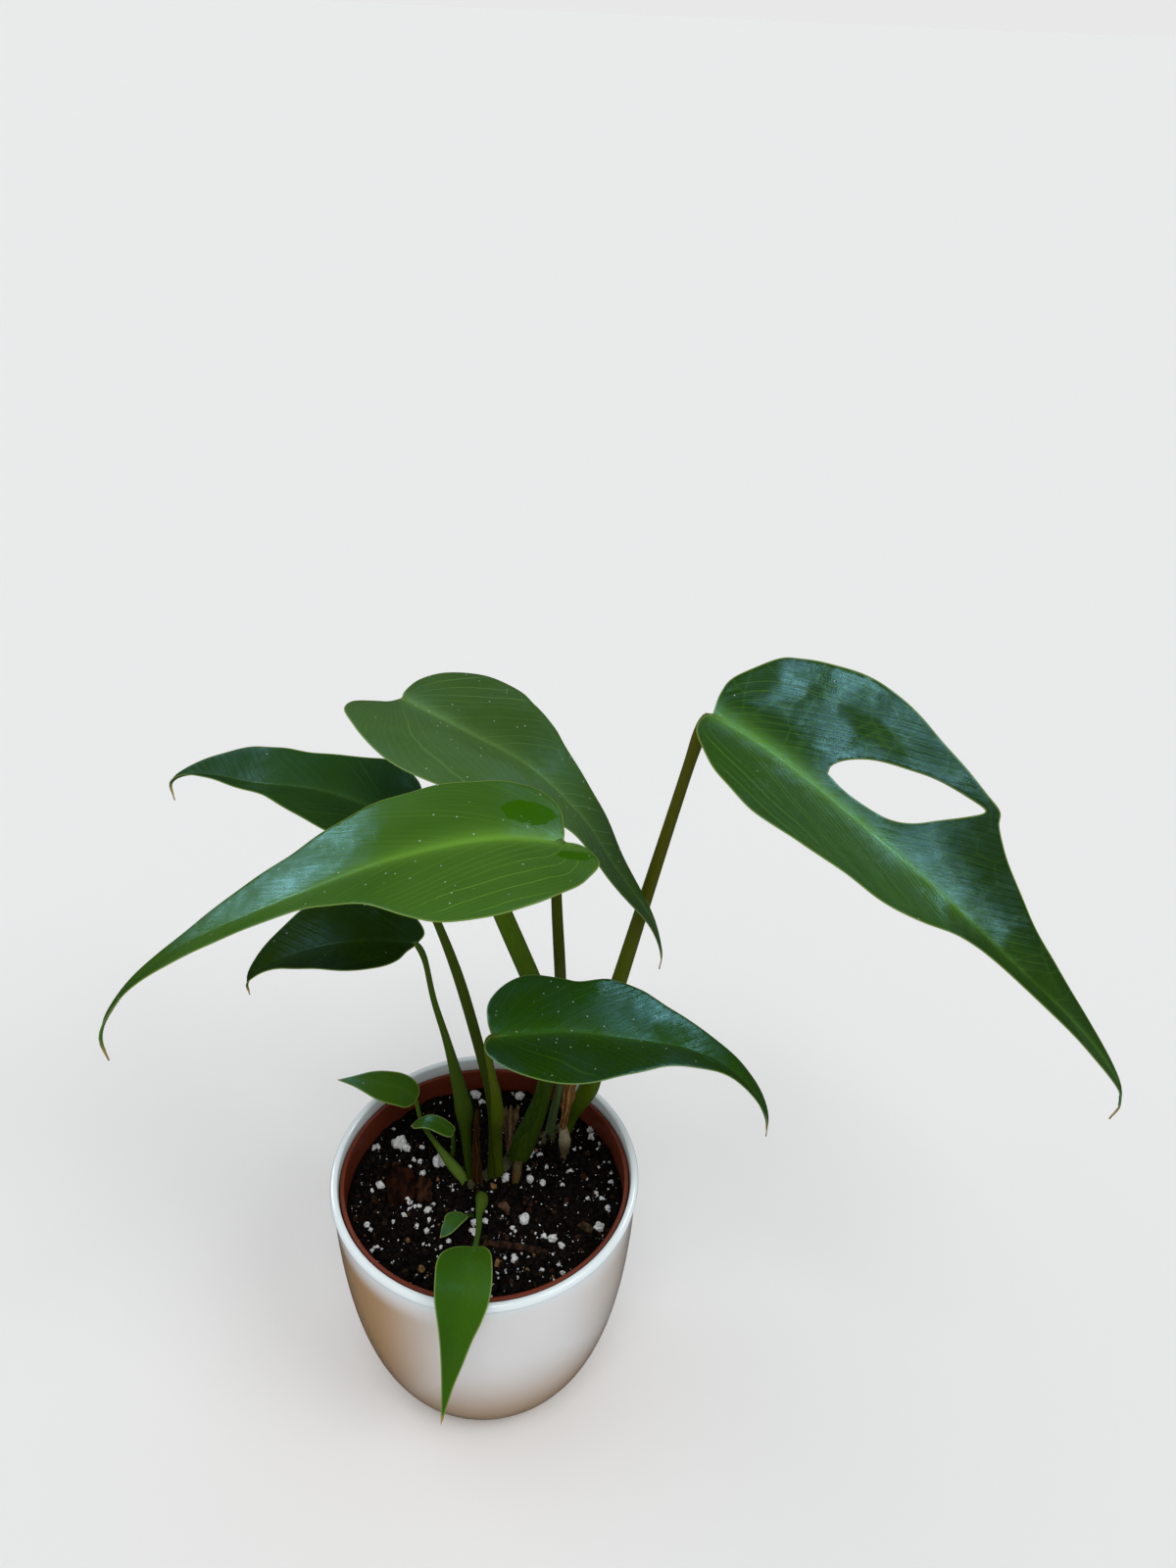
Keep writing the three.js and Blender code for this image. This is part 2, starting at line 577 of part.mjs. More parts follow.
// A split wood bit: a slab with uneven sides
function chipSolid({ at, half, turn }, grow = 0) {
  const box = new THREE.BoxGeometry(2, 2, 2, 3, 2, 1);
  const position = box.attributes.position;
  for (let i = 0; i < position.count; i++) {
    const [x, y, z] = [position.getX(i), position.getY(i), position.getZ(i)];
    const uneven = 1 + 0.12 * Math.sin(3.1 * x + 2.3 * y) - 0.08 * Math.cos(4 * x - y);
    position.setXYZ(i, x * (half[0] + grow), y * uneven * (half[1] + grow), z * (half[2] + grow));
  }
  box.rotateZ(THREE.MathUtils.degToRad(turn));
  box.translate(...at);
  return solidFrom(box);
}

function latheSolid(profile, segments) {
  const outline = profile.map(([r, z]) => new THREE.Vector2(r, z));
  const lathe = new THREE.LatheGeometry(outline, segments);
  lathe.rotateX(Math.PI / 2);
  const solid = solidFrom(lathe);
  if (solid.volume() > 0) return solid;
  const turned = new THREE.LatheGeometry(outline.reverse(), segments);
  turned.rotateX(Math.PI / 2);
  return solidFrom(turned);
}

// Radius of the pot's rounded body at a height, outside or inside
function potRadius(z, bottom, bottomRadius, topRadius) {
  const depth = THREE.MathUtils.clamp((POT.height - z) / (POT.height - bottom), 0, 1);
  const swell = (1 - depth ** POT.fullness) ** (1 / POT.fullness);
  return bottomRadius + (topRadius - bottomRadius) * swell;
}

function outerPot() {
  const steps = 9;
  const bodyTop = POT.rimRadius - POT.lipDrop;
  const innerTop = POT.rimRadius - POT.lipDrop - POT.wall + 0.4;
  const innerBase = POT.baseRadius - 3;
  const under = POT.height - POT.lipHeight;
  const fallTo = (bottom, i) => bottom + (under - bottom) * (1 - Math.sin(((i / steps) * Math.PI) / 2));
  const outside = Array.from({ length: steps }, (_, i) => {
    const z = fallTo(0, steps - i);
    return [potRadius(z, 0, POT.baseRadius, bodyTop), z];
  });
  const inside = Array.from({ length: steps }, (_, i) => {
    const z = fallTo(POT.floor, i);
    return [potRadius(z, POT.floor, innerBase, innerTop), z];
  });
  const lip = [
    [bodyTop, under],
    [POT.rimRadius - 0.15, under + 0.8],
    [POT.rimRadius, POT.height - 1.9],
    [POT.rimRadius - 0.7, POT.height - 0.5],
    [POT.rimRadius - 1.9, POT.height],
    [innerTop + 0.6, POT.height - 0.4],
    [innerTop + 0.2, POT.height - 1.6],
  ];
  const profile = [[0, 0], ...outside, ...lip, ...inside, [innerBase, POT.floor], [0, POT.floor]];
  return latheSolid(profile, POT.segments);
}

// Radius of the nursery pot's outer wall at a height
function nurseryRadius(z) {
  if (z >= NURSERY.collarHeight) return NURSERY.collarRadius;
  const shoulder = NURSERY.collarHeight - NURSERY.collarStep;
  const part = (z - NURSERY.heelHeight) / (shoulder - NURSERY.heelHeight);
  return lerp(NURSERY.heelRadius, NURSERY.shoulderRadius, part);
}

const NURSERY_BASE = POT.floor + CLEARANCE;

function nurseryPot() {
  const { rimHeight, rimRadius, rimInner, lipHeight, wall, heelRadius, heelHeight, baseRadius } = NURSERY;
  const { collarRadius, collarHeight, collarStep, shoulderRadius } = NURSERY;
  const lip = rimHeight - lipHeight;
  const profile = [
    [0, NURSERY_BASE],
    [baseRadius, NURSERY_BASE],
    [baseRadius + 4, NURSERY_BASE + 2.2],
    [heelRadius, heelHeight],
    [shoulderRadius, collarHeight - collarStep],
    [collarRadius, collarHeight],
    [collarRadius, lip],
    [rimRadius, lip + 0.2],
    [rimRadius, rimHeight - 0.4],
    [rimRadius - 0.4, rimHeight],
    [rimInner + 0.3, rimHeight],
    [rimInner, rimHeight - 0.4],
    [collarRadius - wall, lip - 1],
    [collarRadius - wall, collarHeight + 0.6],
    [shoulderRadius - wall, collarHeight - collarStep + 0.5],
    [heelRadius - wall, heelHeight + 0.6],
    [baseRadius + 3, NURSERY_BASE + 3],
    [baseRadius - 0.6, NURSERY_BASE + wall],
    [0, NURSERY_BASE + wall],
  ];
  let pot = latheSolid(profile, NURSERY.segments);
  for (let i = 0; i < NURSERY.drainHoles; i++) {
    const angle = (i / NURSERY.drainHoles) * Math.PI * 2;
    const drill = new THREE.CylinderGeometry(NURSERY.drainRadius, NURSERY.drainRadius, 8, 12);
    drill.rotateX(Math.PI / 2);
    drill.translate(
      NURSERY.drainRing * Math.cos(angle),
      NURSERY.drainRing * Math.sin(angle),
      NURSERY_BASE,
    );
    pot = pot.subtract(solidFrom(drill));
  }
  return pot.warp((point) => {
    const raised = THREE.MathUtils.clamp((point[2] - collarHeight) / (lip - collarHeight), 0, 1);
    point[2] -= NURSERY.rimSlant * point[1] * raised;
  });
}

// Height of the soil's surface
function soilHeight(x, y) {
  const bumps =
    Math.sin(0.21 * x + 1.1) * Math.cos(0.17 * y - 0.4) + 0.5 * Math.sin(0.37 * x - 0.29 * y + 2);
  const dish = SOIL.dish * (Math.hypot(x, y) / NURSERY.collarRadius) ** 4;
  return SOIL.level + dish + SOIL.relief * bumps;
}

// Soil body: a surface with relief over a tapering plug that fills the nursery pot
function soilBody() {
  const { rings, segments, level } = SOIL;
  const gap = CLEARANCE + NURSERY.wall;
  const points = [];
  const triangles = [];
  const radiusTop = nurseryRadius(level) - gap;
  points.push(new THREE.Vector3(0, 0, soilHeight(0, 0)));
  const radii = Array.from({ length: rings }, (_, i) => (radiusTop * (i + 1)) / rings);
  const walls = [
    [radiusTop, NURSERY.collarHeight + 1.1],
    [NURSERY.shoulderRadius - gap, NURSERY.collarHeight - 0.3],
    [NURSERY.heelRadius - gap, NURSERY.heelHeight + 1.2],
    [NURSERY.baseRadius + 2, NURSERY_BASE + 3.6],
    [NURSERY.baseRadius - 2, NURSERY_BASE + NURSERY.wall + CLEARANCE],
  ];
  const loops = [...radii.map((r) => [r, null]), ...walls];
  for (const [radius, height] of loops) {
    for (let s = 0; s < segments; s++) {
      const angle = (s / segments) * Math.PI * 2;
      const [x, y] = [radius * Math.cos(angle), radius * Math.sin(angle)];
      points.push(new THREE.Vector3(x, y, height ?? soilHeight(x, y)));
    }
  }
  const id = (loop, s) => 1 + loop * segments + (s % segments);
  for (let s = 0; s < segments; s++) {
    triangles.push([0, id(0, s), id(0, s + 1)]);
    for (let loop = 0; loop + 1 < loops.length; loop++) {
      triangles.push([id(loop, s), id(loop + 1, s), id(loop + 1, s + 1)]);
      triangles.push([id(loop, s), id(loop + 1, s + 1), id(loop, s + 1)]);
    }
  }
  const bottom = points.length;
  points.push(new THREE.Vector3(0, 0, NURSERY_BASE + NURSERY.wall + CLEARANCE));
  const lastLoop = loops.length - 1;
  for (let s = 0; s < segments; s++) triangles.push([id(lastLoop, s + 1), id(lastLoop, s), bottom]);
  return solidFrom(geometryFromLists(points, triangles));
}

// Perlite grains: small lumps sunk in the soil's surface and grown onto it
function perliteLumps() {
  const random = randomSource(SOIL.seed);
  const reach = nurseryRadius(SOIL.level) - 6;
  const lumps = [];
  for (let i = 0; i < SOIL.lumps; i++) {
    const distance = reach * Math.sqrt(random());
    const angle = random() * Math.PI * 2;
    const radius = lerp(SOIL.lumpRadius[0], SOIL.lumpRadius[1], random() ** 2);
    const [x, y] = [distance * Math.cos(angle), distance * Math.sin(angle)];
    const lump = new THREE.OctahedronGeometry(radius);
    lump.rotateX(random() * 3);
    lump.rotateZ(random() * 3);
    lump.translate(x, y, soilHeight(x, y) + 0.25 * radius);
    lumps.push(solidFrom(lump));
  }
  return lumps;
}

// Solids of the plant, each cut clear of the ones that carry it
const solids = new Map();
const looks = new Map();
function keep(name, solid, material) {
  solids.set(name, solid);
  looks.set(name, material);
}

const stem = shootSolid(STEM, { step: 6 });
const stemSeat = shootSolid(STEM, { step: 6, grow: CLEARANCE });
keep("stem", stem, MATERIALS.stem);

const youngLeaves = ["g", "h", "i", "j"];
for (const [name, leaf] of Object.entries(LEAVES)) {
  const material = youngLeaves.includes(name) ? MATERIALS.youngLeaf : MATERIALS.leaf;
  keep("leaf_" + name, bladeSolid(leaf), material);
}

const seats = [stemSeat];
for (const [name, path] of Object.entries(PETIOLES)) {
  const step = path.at(-1)[2] > 150 ? PETIOLE_STEP : 7;
  let petiole = shootSolid(path, { step });
  for (const seat of seats) petiole = petiole.subtract(seat);
  petiole = largest(petiole.subtract(bladeSolid(LEAVES[name], CLEARANCE)));
  keep("petiole_" + name, petiole, MATERIALS.petiole);
  seats.push(shootSolid(path, { step, grow: CLEARANCE }));
}

for (const [name, path] of Object.entries(ROOTS)) {
  let root = shootSolid(path, { step: 4, sides: 7 });
  for (const seat of seats) root = root.subtract(seat);
  keep("root_" + name, largest(root), MATERIALS.root);
  seats.push(shootSolid(path, { step: 4, sides: 7, grow: CLEARANCE }));
}

for (const [name, shape] of Object.entries(SHEATHS)) {
  let sheath = sheathSolid(shape);
  for (const seat of seats) sheath = sheath.subtract(seat);
  keep("sheath_" + name, largest(sheath), MATERIALS.paper);
}

// Soil with its grains, and plain holes for whatever stands in it
let soil = soilBody();
for (const lump of perliteLumps()) soil = soil.add(lump);
for (const seat of seats) soil = soil.subtract(seat);
for (const [name, chip] of Object.entries(CHIPS)) {
  keep(name, chipSolid(chip), MATERIALS.bark);
  soil = soil.subtract(chipSolid(chip, CLEARANCE));
}
keep("soil", largest(soil), MATERIALS.soil);
keep("nursery_pot", nurseryPot(), MATERIALS.terracotta);
keep("outer_pot", outerPot(), MATERIALS.glaze);

const plant = new THREE.Group();
for (const [name, solid] of solids) {
  const mesh = new THREE.Mesh(geometryFrom(solid), looks.get(name));
  mesh.name = name;
  plant.add(mesh);
}

export default plant;
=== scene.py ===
import math
import random

import bmesh
import bpy
import numpy as np
from mathutils import Matrix, Vector, noise
from mathutils.geometry import delaunay_2d_cdt


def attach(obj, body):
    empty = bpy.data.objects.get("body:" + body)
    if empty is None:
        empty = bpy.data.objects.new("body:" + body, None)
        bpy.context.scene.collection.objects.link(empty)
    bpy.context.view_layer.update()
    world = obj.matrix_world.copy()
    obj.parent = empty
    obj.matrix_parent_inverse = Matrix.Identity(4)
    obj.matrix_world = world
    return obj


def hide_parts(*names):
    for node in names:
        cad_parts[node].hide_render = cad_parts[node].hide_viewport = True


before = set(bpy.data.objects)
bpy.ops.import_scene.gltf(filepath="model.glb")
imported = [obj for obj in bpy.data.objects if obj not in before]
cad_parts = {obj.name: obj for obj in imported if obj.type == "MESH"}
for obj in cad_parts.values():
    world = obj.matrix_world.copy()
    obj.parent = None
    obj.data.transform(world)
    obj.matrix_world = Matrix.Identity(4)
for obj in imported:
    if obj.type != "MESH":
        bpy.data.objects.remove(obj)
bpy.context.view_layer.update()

MM = 0.001
BODY = "root"
GAP = 0.3  # between pieces that touch
FLOOR_HALF = 90  # metres

CAMERA_AT = (37.7, -337.0, 554.0)
CAMERA_DOWN = 33.6  # degrees below the horizon
CAMERA_ROLL = 2.5
CAMERA_LENS = 27.0
CAMERA_FILM = 36  # long side
CAMERA_RANGE = (0.01, 300)  # metres

# Distant lights: azimuth (0 behind the plant, 90 to its right), elevation and width in degrees,
# strength, colour, and whether diffuse and glossy surfaces catch them
DAYLIGHT = (0.97, 0.99, 1.0)
LIGHTS = {
    "over_camera": (180, 67, 24, 0.75, DAYLIGHT, True, True),
    "right_window": (117, 52, 28, 0.75, DAYLIGHT, True, True),
    "left_fill": (-80, 38, 60, 0.45, DAYLIGHT, True, False),
    "left_window": (-59, 27, 18, 1.35, (0.5, 0.82, 1.0), False, True),
    "back_window": (50, 45, 16, 0.75, (0.7, 0.92, 1.0), False, True),
}
# Brightness of the surroundings: as light, in mirror images and behind the plant
ROOM_LIGHT, ROOM_MIRRORED, ROOM_SEEN = 0.52, 0.03, 0.81

# Leaves. rib: midrib from the petiole to the drip tip. roll, twist: turn of the blade about its
# midrib, at the base and over its length. fold: upward slope of each half at base and tip.
# arch: drop of each half towards its margin. left, right: outline as distance along the midrib and
# distance from it. slot: the hole. cell: size of the mesh. slant: how far side veins run forward on
# the left and right half. curl: their forward bend.
LEAVES = {
    "a": dict(
        rib=[(83, 42, 336), (108, 25, 328), (142, -1, 312), (169, -19, 296), (190, -28, 280),
             (216, -33, 257), (236, -32, 232), (241, -33, 220), (239, -34, 212)],
        roll=-11, twist=7, fold=(14, 14), arch=-0.29,
        left=[(-3, 9), (-2.5, 17.5), (6.5, 30), (14, 35), (23, 39), (38.5, 43.2), (58, 42.3),
              (79, 39.6), (93, 37.2), (100, 35.6), (103.2, 32), (109, 28.4), (118.5, 24), (136, 16.5),
              (152.5, 11.6), (177, 5.7), (205, 2.5)],
        right=[(-1, 7), (2, 16), (10, 26), (23, 38.5), (39, 45.5), (50, 45.5), (61, 42), (74, 37),
               (88, 33.5), (102, 25), (116, 12.5), (134, 7.5), (162, 7), (187, 6.5), (211, 3.5)],
        slot=[(46.5, 6.6), (45.5, 10), (47.5, 14.5), (52, 19), (57.5, 22.6), (65.5, 26.6), (74, 29.8),
              (85.5, 32.1), (94.5, 33.2), (96.3, 32), (93.4, 28), (87, 20.6), (80.4, 12.8), (73, 8.2),
              (63, 6.1), (54.5, 5.6)],
        cell=1.5, slant=(0.95, 1.7), curl=0.006),
    "b": dict(
        rib=[(-40, 82, 314), (-10, 57, 314), (14, 46, 307), (35, 40, 289), (50, 37, 266),
             (65, 34, 244), (71, 31, 228), (71, 30, 219)],
        roll=4, twist=5, fold=(14, 14), arch=0.26,
        left=[(-3, 5), (-4.5, 14.5), (-1, 27), (8.5, 38), (22, 41.2), (36, 38.6), (53.5, 35),
              (65.5, 28.5), (79.5, 20), (93, 15), (108, 12.3), (128, 7), (153.5, 2.5)],
        right=[(1, 4), (1.5, 9), (-1.5, 14.5), (-5.5, 22), (-1, 29.5), (11.5, 34.5), (27, 39.8),
               (42.5, 43), (55.5, 40.5), (73, 28.5), (90, 18), (105, 15), (120.5, 13), (138.5, 9.5),
               (159.5, 4)],
        cell=1.5, slant=(1.0, 1.3), curl=0.012),
    "c": dict(
        rib=[(30, -4, 308), (5, -15, 316), (-27, -22, 311), (-61, -24, 295), (-99, -24, 273),
             (-120, -28, 258), (-132, -32, 243), (-137, -33, 231), (-136, -34, 220)],
        roll=6, twist=-9, fold=(12, 12), arch=0.1,
        left=[(-6, 2), (-8.5, 8), (-7, 15.5), (1, 23.8), (14.5, 33.4), (25.5, 41.4), (35.5, 44.7),
              (47, 43.3), (57, 35.5), (69, 24), (82, 16.8), (96.5, 11.5), (115, 10.5), (134, 10.6),
              (157.5, 10), (181.5, 5.5)],
        right=[(-2, 6), (-3, 16.5), (3, 25.5), (12.5, 28), (27.5, 28), (49.5, 28.8), (70, 28.8),
               (86, 25), (102.5, 20.8), (119, 16.4), (137.5, 10), (152.5, 5.2), (171, 3), (196, 3)],
        cell=1.5, slant=(1.3, 2.2), curl=0.01),
    "d": dict(
        rib=[(-43, 72, 262), (-55, 70, 268), (-70, 72, 272), (-87, 76, 272), (-106, 83, 268),
             (-125, 96, 262), (-144, 107, 255), (-154, 110, 248), (-153, 107, 240)],
        roll=12, twist=0, fold=(14, 40), arch=0,
        left=[(-6, 8), (-8, 16), (0, 27), (10, 33), (22, 34), (34, 28.4), (50, 18), (64, 12), (80, 8.5),
              (100, 6), (118, 3)],
        right=[(-8, 8), (-8, 18), (0, 24.5), (14, 24.4), (30, 19.4), (45, 17.8), (60, 18.5), (80, 16.6),
               (100, 10.4), (119, 3.5)],
        cell=1.4, slant=(1.2, 1.4), curl=0.01),
    "e": dict(
        rib=[(-29, 25, 232), (-46, 21, 236), (-63, 21, 233), (-80, 23, 225), (-92, 25, 216),
             (-102, 27, 205), (-102, 26, 198)],
        roll=5, twist=3, fold=(14, 14), arch=-0.41,
        left=[(2, 3), (6, 8), (11, 17), (17, 24.6), (23, 26.4), (32, 22), (46, 15), (60, 7.9),
              (72, 3.6), (81, 2.5)],
        right=[(-3, 5), (0, 11), (8, 17.5), (20, 22), (34, 22), (48, 19.5), (60, 14.5), (74, 10),
               (86, 4.2)],
        cell=1.2, slant=(1.2, 1.4), curl=0.01),
    "f": dict(
        rib=[(5, -15, 222), (34, -15, 226), (57, -14, 223), (80, -11, 216), (96, -11, 208),
             (108, -13, 196), (115, -16, 184), (116, -18, 175)],
        roll=-2, twist=2, fold=(14, 14), arch=0.16,
        left=[(-2, 7), (-2, 15.6), (4, 24.4), (13, 28), (26, 25.4), (34, 23.6), (47, 27), (60, 24.2),
              (72, 17), (89, 9.4), (105, 7), (122, 4.6)],
        right=[(-2, 5), (0, 12), (9, 21), (24, 29), (37, 29.2), (50, 22.8), (65, 14.6), (82, 11),
               (97, 7), (115, 3.6)],
        cell=1.3, slant=(1.3, 1.5), curl=0.01),
    "g": dict(
        rib=[(-33, 22, 142), (-39, 24, 146), (-46, 25, 147), (-56, 29, 145), (-71, 34, 139)],
        roll=14, twist=0, fold=(12, 12), arch=0,
        left=[(0, 3), (3, 7.5), (11, 9), (23, 6.5), (33, 3)],
        right=[(1, 3.5), (6, 6), (17, 6), (33, 2)],
        cell=0.8, slant=(1.2, 1.2), curl=0.02),
    "h": dict(
        rib=[(-15, 9, 136.5), (-21, 10, 140.5), (-27, 12, 139.5), (-34.5, 14, 133.5)],
        roll=12, twist=0, fold=(10, 10), arch=0,
        left=[(0, 2.2), (3, 4), (8, 4.5), (19, 3)],
        right=[(0, 1.8), (2.5, 2.7), (8, 3), (15, 3), (21, 2)],
        cell=0.6, slant=(1.2, 1.2), curl=0.02),
    "i": dict(
        rib=[(0, -44, 131), (-2, -54, 134), (-2, -64, 133), (-3, -73, 124), (-5, -80, 112),
             (-7, -85, 101), (-9, -93, 87)],
        roll=0, twist=0, fold=(10, 10), arch=0,
        left=[(-1, 3), (2, 7), (10, 10), (22, 10.5), (31, 8.5), (39, 6), (50, 4), (62, 2)],
        right=[(1, 3), (4, 7), (10, 11.5), (17, 12), (26, 11), (40, 7), (50, 4.5), (62, 2)],
        cell=0.8, slant=(1.6, 1.6), curl=0.02),
    "j": dict(
        rib=[(-7.5, -14.5, 111), (-12, -20.4, 112), (-15, -23.2, 111), (-17.4, -25.2, 109.5)],
        roll=-10, twist=0, fold=(8, 8), arch=0,
        left=[(0.5, 1.8), (5, 2.4), (10, 2.8), (12.5, 2)],
        right=[(0.5, 3.2), (3, 5.8), (6, 6.3), (9, 4.8), (12, 3)],
        cell=0.5, slant=(1.2, 1.2), curl=0.02),
}

# Petioles, stem and aerial roots: x, y, z and radius. Petioles run from the root end to the blade.
PETIOLES = {
    "a": [(34, 37.5, 104, 2.6), (37.4, 39, 115, 2.5), (41.6, 39, 128, 4.2), (45, 39.3, 140, 4.8),
          (49, 40, 172, 3.9), (55, 40, 203, 3.3), (63, 41, 245, 2.8), (72, 42, 292, 2.4),
          (79, 42, 328, 2.2), (82, 42, 335, 2), (83, 42, 336, 2)],
    "b": [(12, 22, 104, 5.4), (15.5, 24, 115, 5.8), (19.5, 27, 126, 4.9), (23.5, 31, 140, 3.9),
          (25.5, 36, 158, 3.9), (22, 43, 181, 4.2), (16, 47, 196, 4.3), (0, 57, 232, 4),
          (-11, 65, 259, 3.5), (-24, 74, 287, 2.9), (-36, 82, 309, 2.4), (-40, 82, 314, 2)],
    "c": [(26.5, 37, 104, 2.2), (28.3, 35.5, 121, 2.1), (30.6, 33, 144, 1.9), (31, 25, 186, 2.2),
          (30, 18, 222, 2.3), (28, 6, 270, 2.1), (28, 0, 293, 1.9), (30, -4, 308, 1.8)],
    "d": [(2.5, 10, 103, 3.3), (3, 15, 118, 3.4), (2.3, 20, 134, 3.1), (-2, 28, 153, 2.5),
          (-14, 43, 192, 2.3), (-25, 54, 218, 1.8), (-33, 60, 233, 1.7), (-43, 72, 262, 1.7)],
    "e": [(-7.5, 10, 103, 2.1), (-9.3, 11.5, 120, 2), (-10.2, 13.5, 134, 2.7), (-10.6, 14.8, 144, 4.1),
          (-12.5, 16.3, 156, 3.2), (-15.5, 18, 172, 2.2), (-18.5, 19.5, 186, 1.6), (-23, 22, 204, 1.3),
          (-26, 24, 224, 1.2), (-29, 25, 232, 1.2)],
    "f": [(5, 9, 110, 2.2), (4, 11, 132, 2.4), (5, 4, 154, 2.8), (5, -1, 173, 2.2), (4, -7, 192, 1.6),
          (3, -13, 214, 1.5), (5, -15, 222, 1.5)],
    "g": [(-11, 8, 98, 2.4), (-12, 9, 106, 2.6), (-17, 11.5, 112, 2.5), (-24, 15, 121, 1.2),
          (-30, 18, 131, 1), (-33, 22, 142, 0.9)],
    "h": [(-18, 17, 99, 1), (-18, 16.5, 106, 1), (-16, 14, 118, 0.9), (-15, 9, 136.5, 0.8)],
    "i": [(-2, 0, 98, 2.2), (-2, -1.5, 106, 2.7), (-1, -8, 112, 2.8), (-1, -19, 118, 1.4),
          (0, -30, 124, 1.2), (0, -44, 131, 1.1)],
    "j": [(-5, -9, 99, 0.9), (-5, -10, 105, 0.9), (-7.2, -14, 110.2, 0.8)],
}
STEM = [(-12, 6, 100, 3.5), (-5, 9, 101.5, 5.6), (4, 13, 102, 5.4), (13, 24, 102, 5.6),
        (21, 31, 102, 4.8), (29, 37, 103, 5), (34, 38.5, 105, 4.2)]
ROOTS = {
    "right": [(33, 36, 111, 1.8), (34, 31, 109, 2.8), (34, 26, 106, 2.5), (34, 21, 101, 1.6)],
    "middle": [(13, 18, 107, 1.8), (13, 13, 107.5, 2.2), (12.6, 9, 105, 1.8), (12.5, 7, 100, 1.2)],
}
# Sheaths: middle line, half width at both ends, and how far the middle bows out
SHEATHS = {
    "right": dict(spine=[(33, 33.5, 114), (33.8, 33.8, 126), (36, 34.5, 147)], half=(1.2, 4), bow=1.4),
    "middle": dict(spine=[(8.2, 17, 115), (8.8, 17.5, 131), (9.6, 18.5, 144)], half=(0.8, 4.2), bow=1.4),
    "left": dict(spine=[(-4.6, 6.5, 106), (-4.8, 8, 128), (-4.4, 9.5, 150)], half=(2.2, 1.1), bow=0.8),
}
# Wood bits: centre, half sizes, turn about the vertical, name, dark and light colour of the wood
CHIPS = {
    "bark_chip_large": ((-38.8, 2.5, 106), (6.3, 10, 1.6), 10,
                        "bark_dark", (0.005, 0.0013, 0.0004), (0.026, 0.007, 0.0022)),
    "bark_chip_small": ((-27.9, 1, 106), (3.5, 6.6, 1.3), 10,
                        "bark_brown", (0.007, 0.0022, 0.0008), (0.045, 0.016, 0.006)),
    "bark_stick": ((16.2, -26.3, 106), (13.5, 1.6, 1.3), -8,
                   "stick_wood", (0.009, 0.004, 0.0025), (0.045, 0.02, 0.011)),
    "wood_bit_middle": ((9, -6, 105.4), (3.2, 1.8, 1), -35,
                        "bit_wood", (0.03, 0.014, 0.009), (0.12, 0.06, 0.04)),
    "wood_bit_right": ((45, -15, 106.2), (3.4, 1.9, 1.1), -30,
                       "bit_tan", (0.018, 0.011, 0.005), (0.1, 0.065, 0.03)),
}

POT = dict(height=125, rim=67.5, drop=0.9, lip=4, wall=3.2, base=34, floor=5, fullness=2.35)
NURSERY = dict(top=121.5, rim=63.3, inner=61.5, lip=3.4, slant=0.038, wall=1, collar=62.4, collar_z=99,
               step=1.2, shoulder=60.4, heel=40.5, heel_z=11, base=31.5, drains=6, drain=3.5, ring=22)
NURSERY_LOW = POT["floor"] + GAP
SOIL = dict(level=105.2, dish=2.3, relief=0.6, seed=11)
WOOD_SEED = 5  # of the uneven faces of the wood bits


def unit(v):
    return v / np.linalg.norm(v, axis=-1, keepdims=True)


def smooth(points, steps):
    """Catmull-Rom curve through the points, sampled evenly between each pair."""
    p = np.array(points, float)
    p = np.vstack((2 * p[0] - p[1], p, 2 * p[-1] - p[-2]))
    t = (np.arange(steps) / steps)[:, None]
    out = []
    for a, b, c, d in zip(p, p[1:], p[2:], p[3:]):
        out.append(0.5 * (2 * b + (c - a) * t + (2 * a - 5 * b + 4 * c - d) * t**2
                          + (3 * b - a - 3 * c + d) * t**3))
    return np.vstack(out + [p[-2:-1]])


def step_between(x, low, high):
    """0 below low, 1 above high and a smooth rise between."""
    t = np.clip((x - low) / (high - low), 0, 1)
    return t * t * (3 - 2 * t)


def circle(count):
    return np.arange(count) / count * 2 * math.pi


def spin(turn):
    """Cosine and sine of an angle in degrees."""
    return math.cos(math.radians(turn)), math.sin(math.radians(turn))


class Spine:
    """A smooth curve with its length and an untwisted frame at every sample."""

    def __init__(self, points, steps):
        dense = smooth(points, steps)
        self.points = dense[:, :3]
        self.extra = dense[:, 3:]
        gaps = np.linalg.norm(np.diff(self.points, axis=0), axis=1)
        self.travel = np.concatenate(([0], np.cumsum(gaps)))
        self.length = self.travel[-1]
        index = np.arange(len(dense))
        ahead = self.points[np.minimum(index + 1, len(dense) - 1)]
        self.tangents = unit(ahead - self.points[np.maximum(index - 1, 0)])
        up = np.array((0, -1, 0) if abs(self.tangents[0, 2]) > 0.9 else (0, 0, 1), float)
        ups = []
        for tangent in self.tangents:
            up = unit(up - tangent * (up @ tangent))
            ups.append(up)
        self.ups = np.array(ups)

    def mixed(self, values, distance):
        return np.stack([np.interp(distance, self.travel, column) for column in values.T], axis=-1)

    def at(self, distance):
        """Point, tangent, up and side at each distance, running on straight past both ends."""
        inside = np.clip(distance, 0, self.length)
        tangent = unit(self.mixed(self.tangents, inside))
        up = unit(self.mixed(self.ups, inside))
        point = self.mixed(self.points, inside) + tangent * (distance - inside)[:, None]
        return point, tangent, up, np.cross(up, tangent)


# Meshes

def link(name, data):
    made = bpy.data.objects.new(name, data)
    bpy.context.scene.collection.objects.link(made)
    return made


def mesh_of(name, points, faces):
    """A mesh from points in millimetres."""
    mesh = bpy.data.meshes.new(name)
    mesh.from_pydata((np.asarray(points) * MM).tolist(), [], [list(map(int, f)) for f in faces])
    return mesh


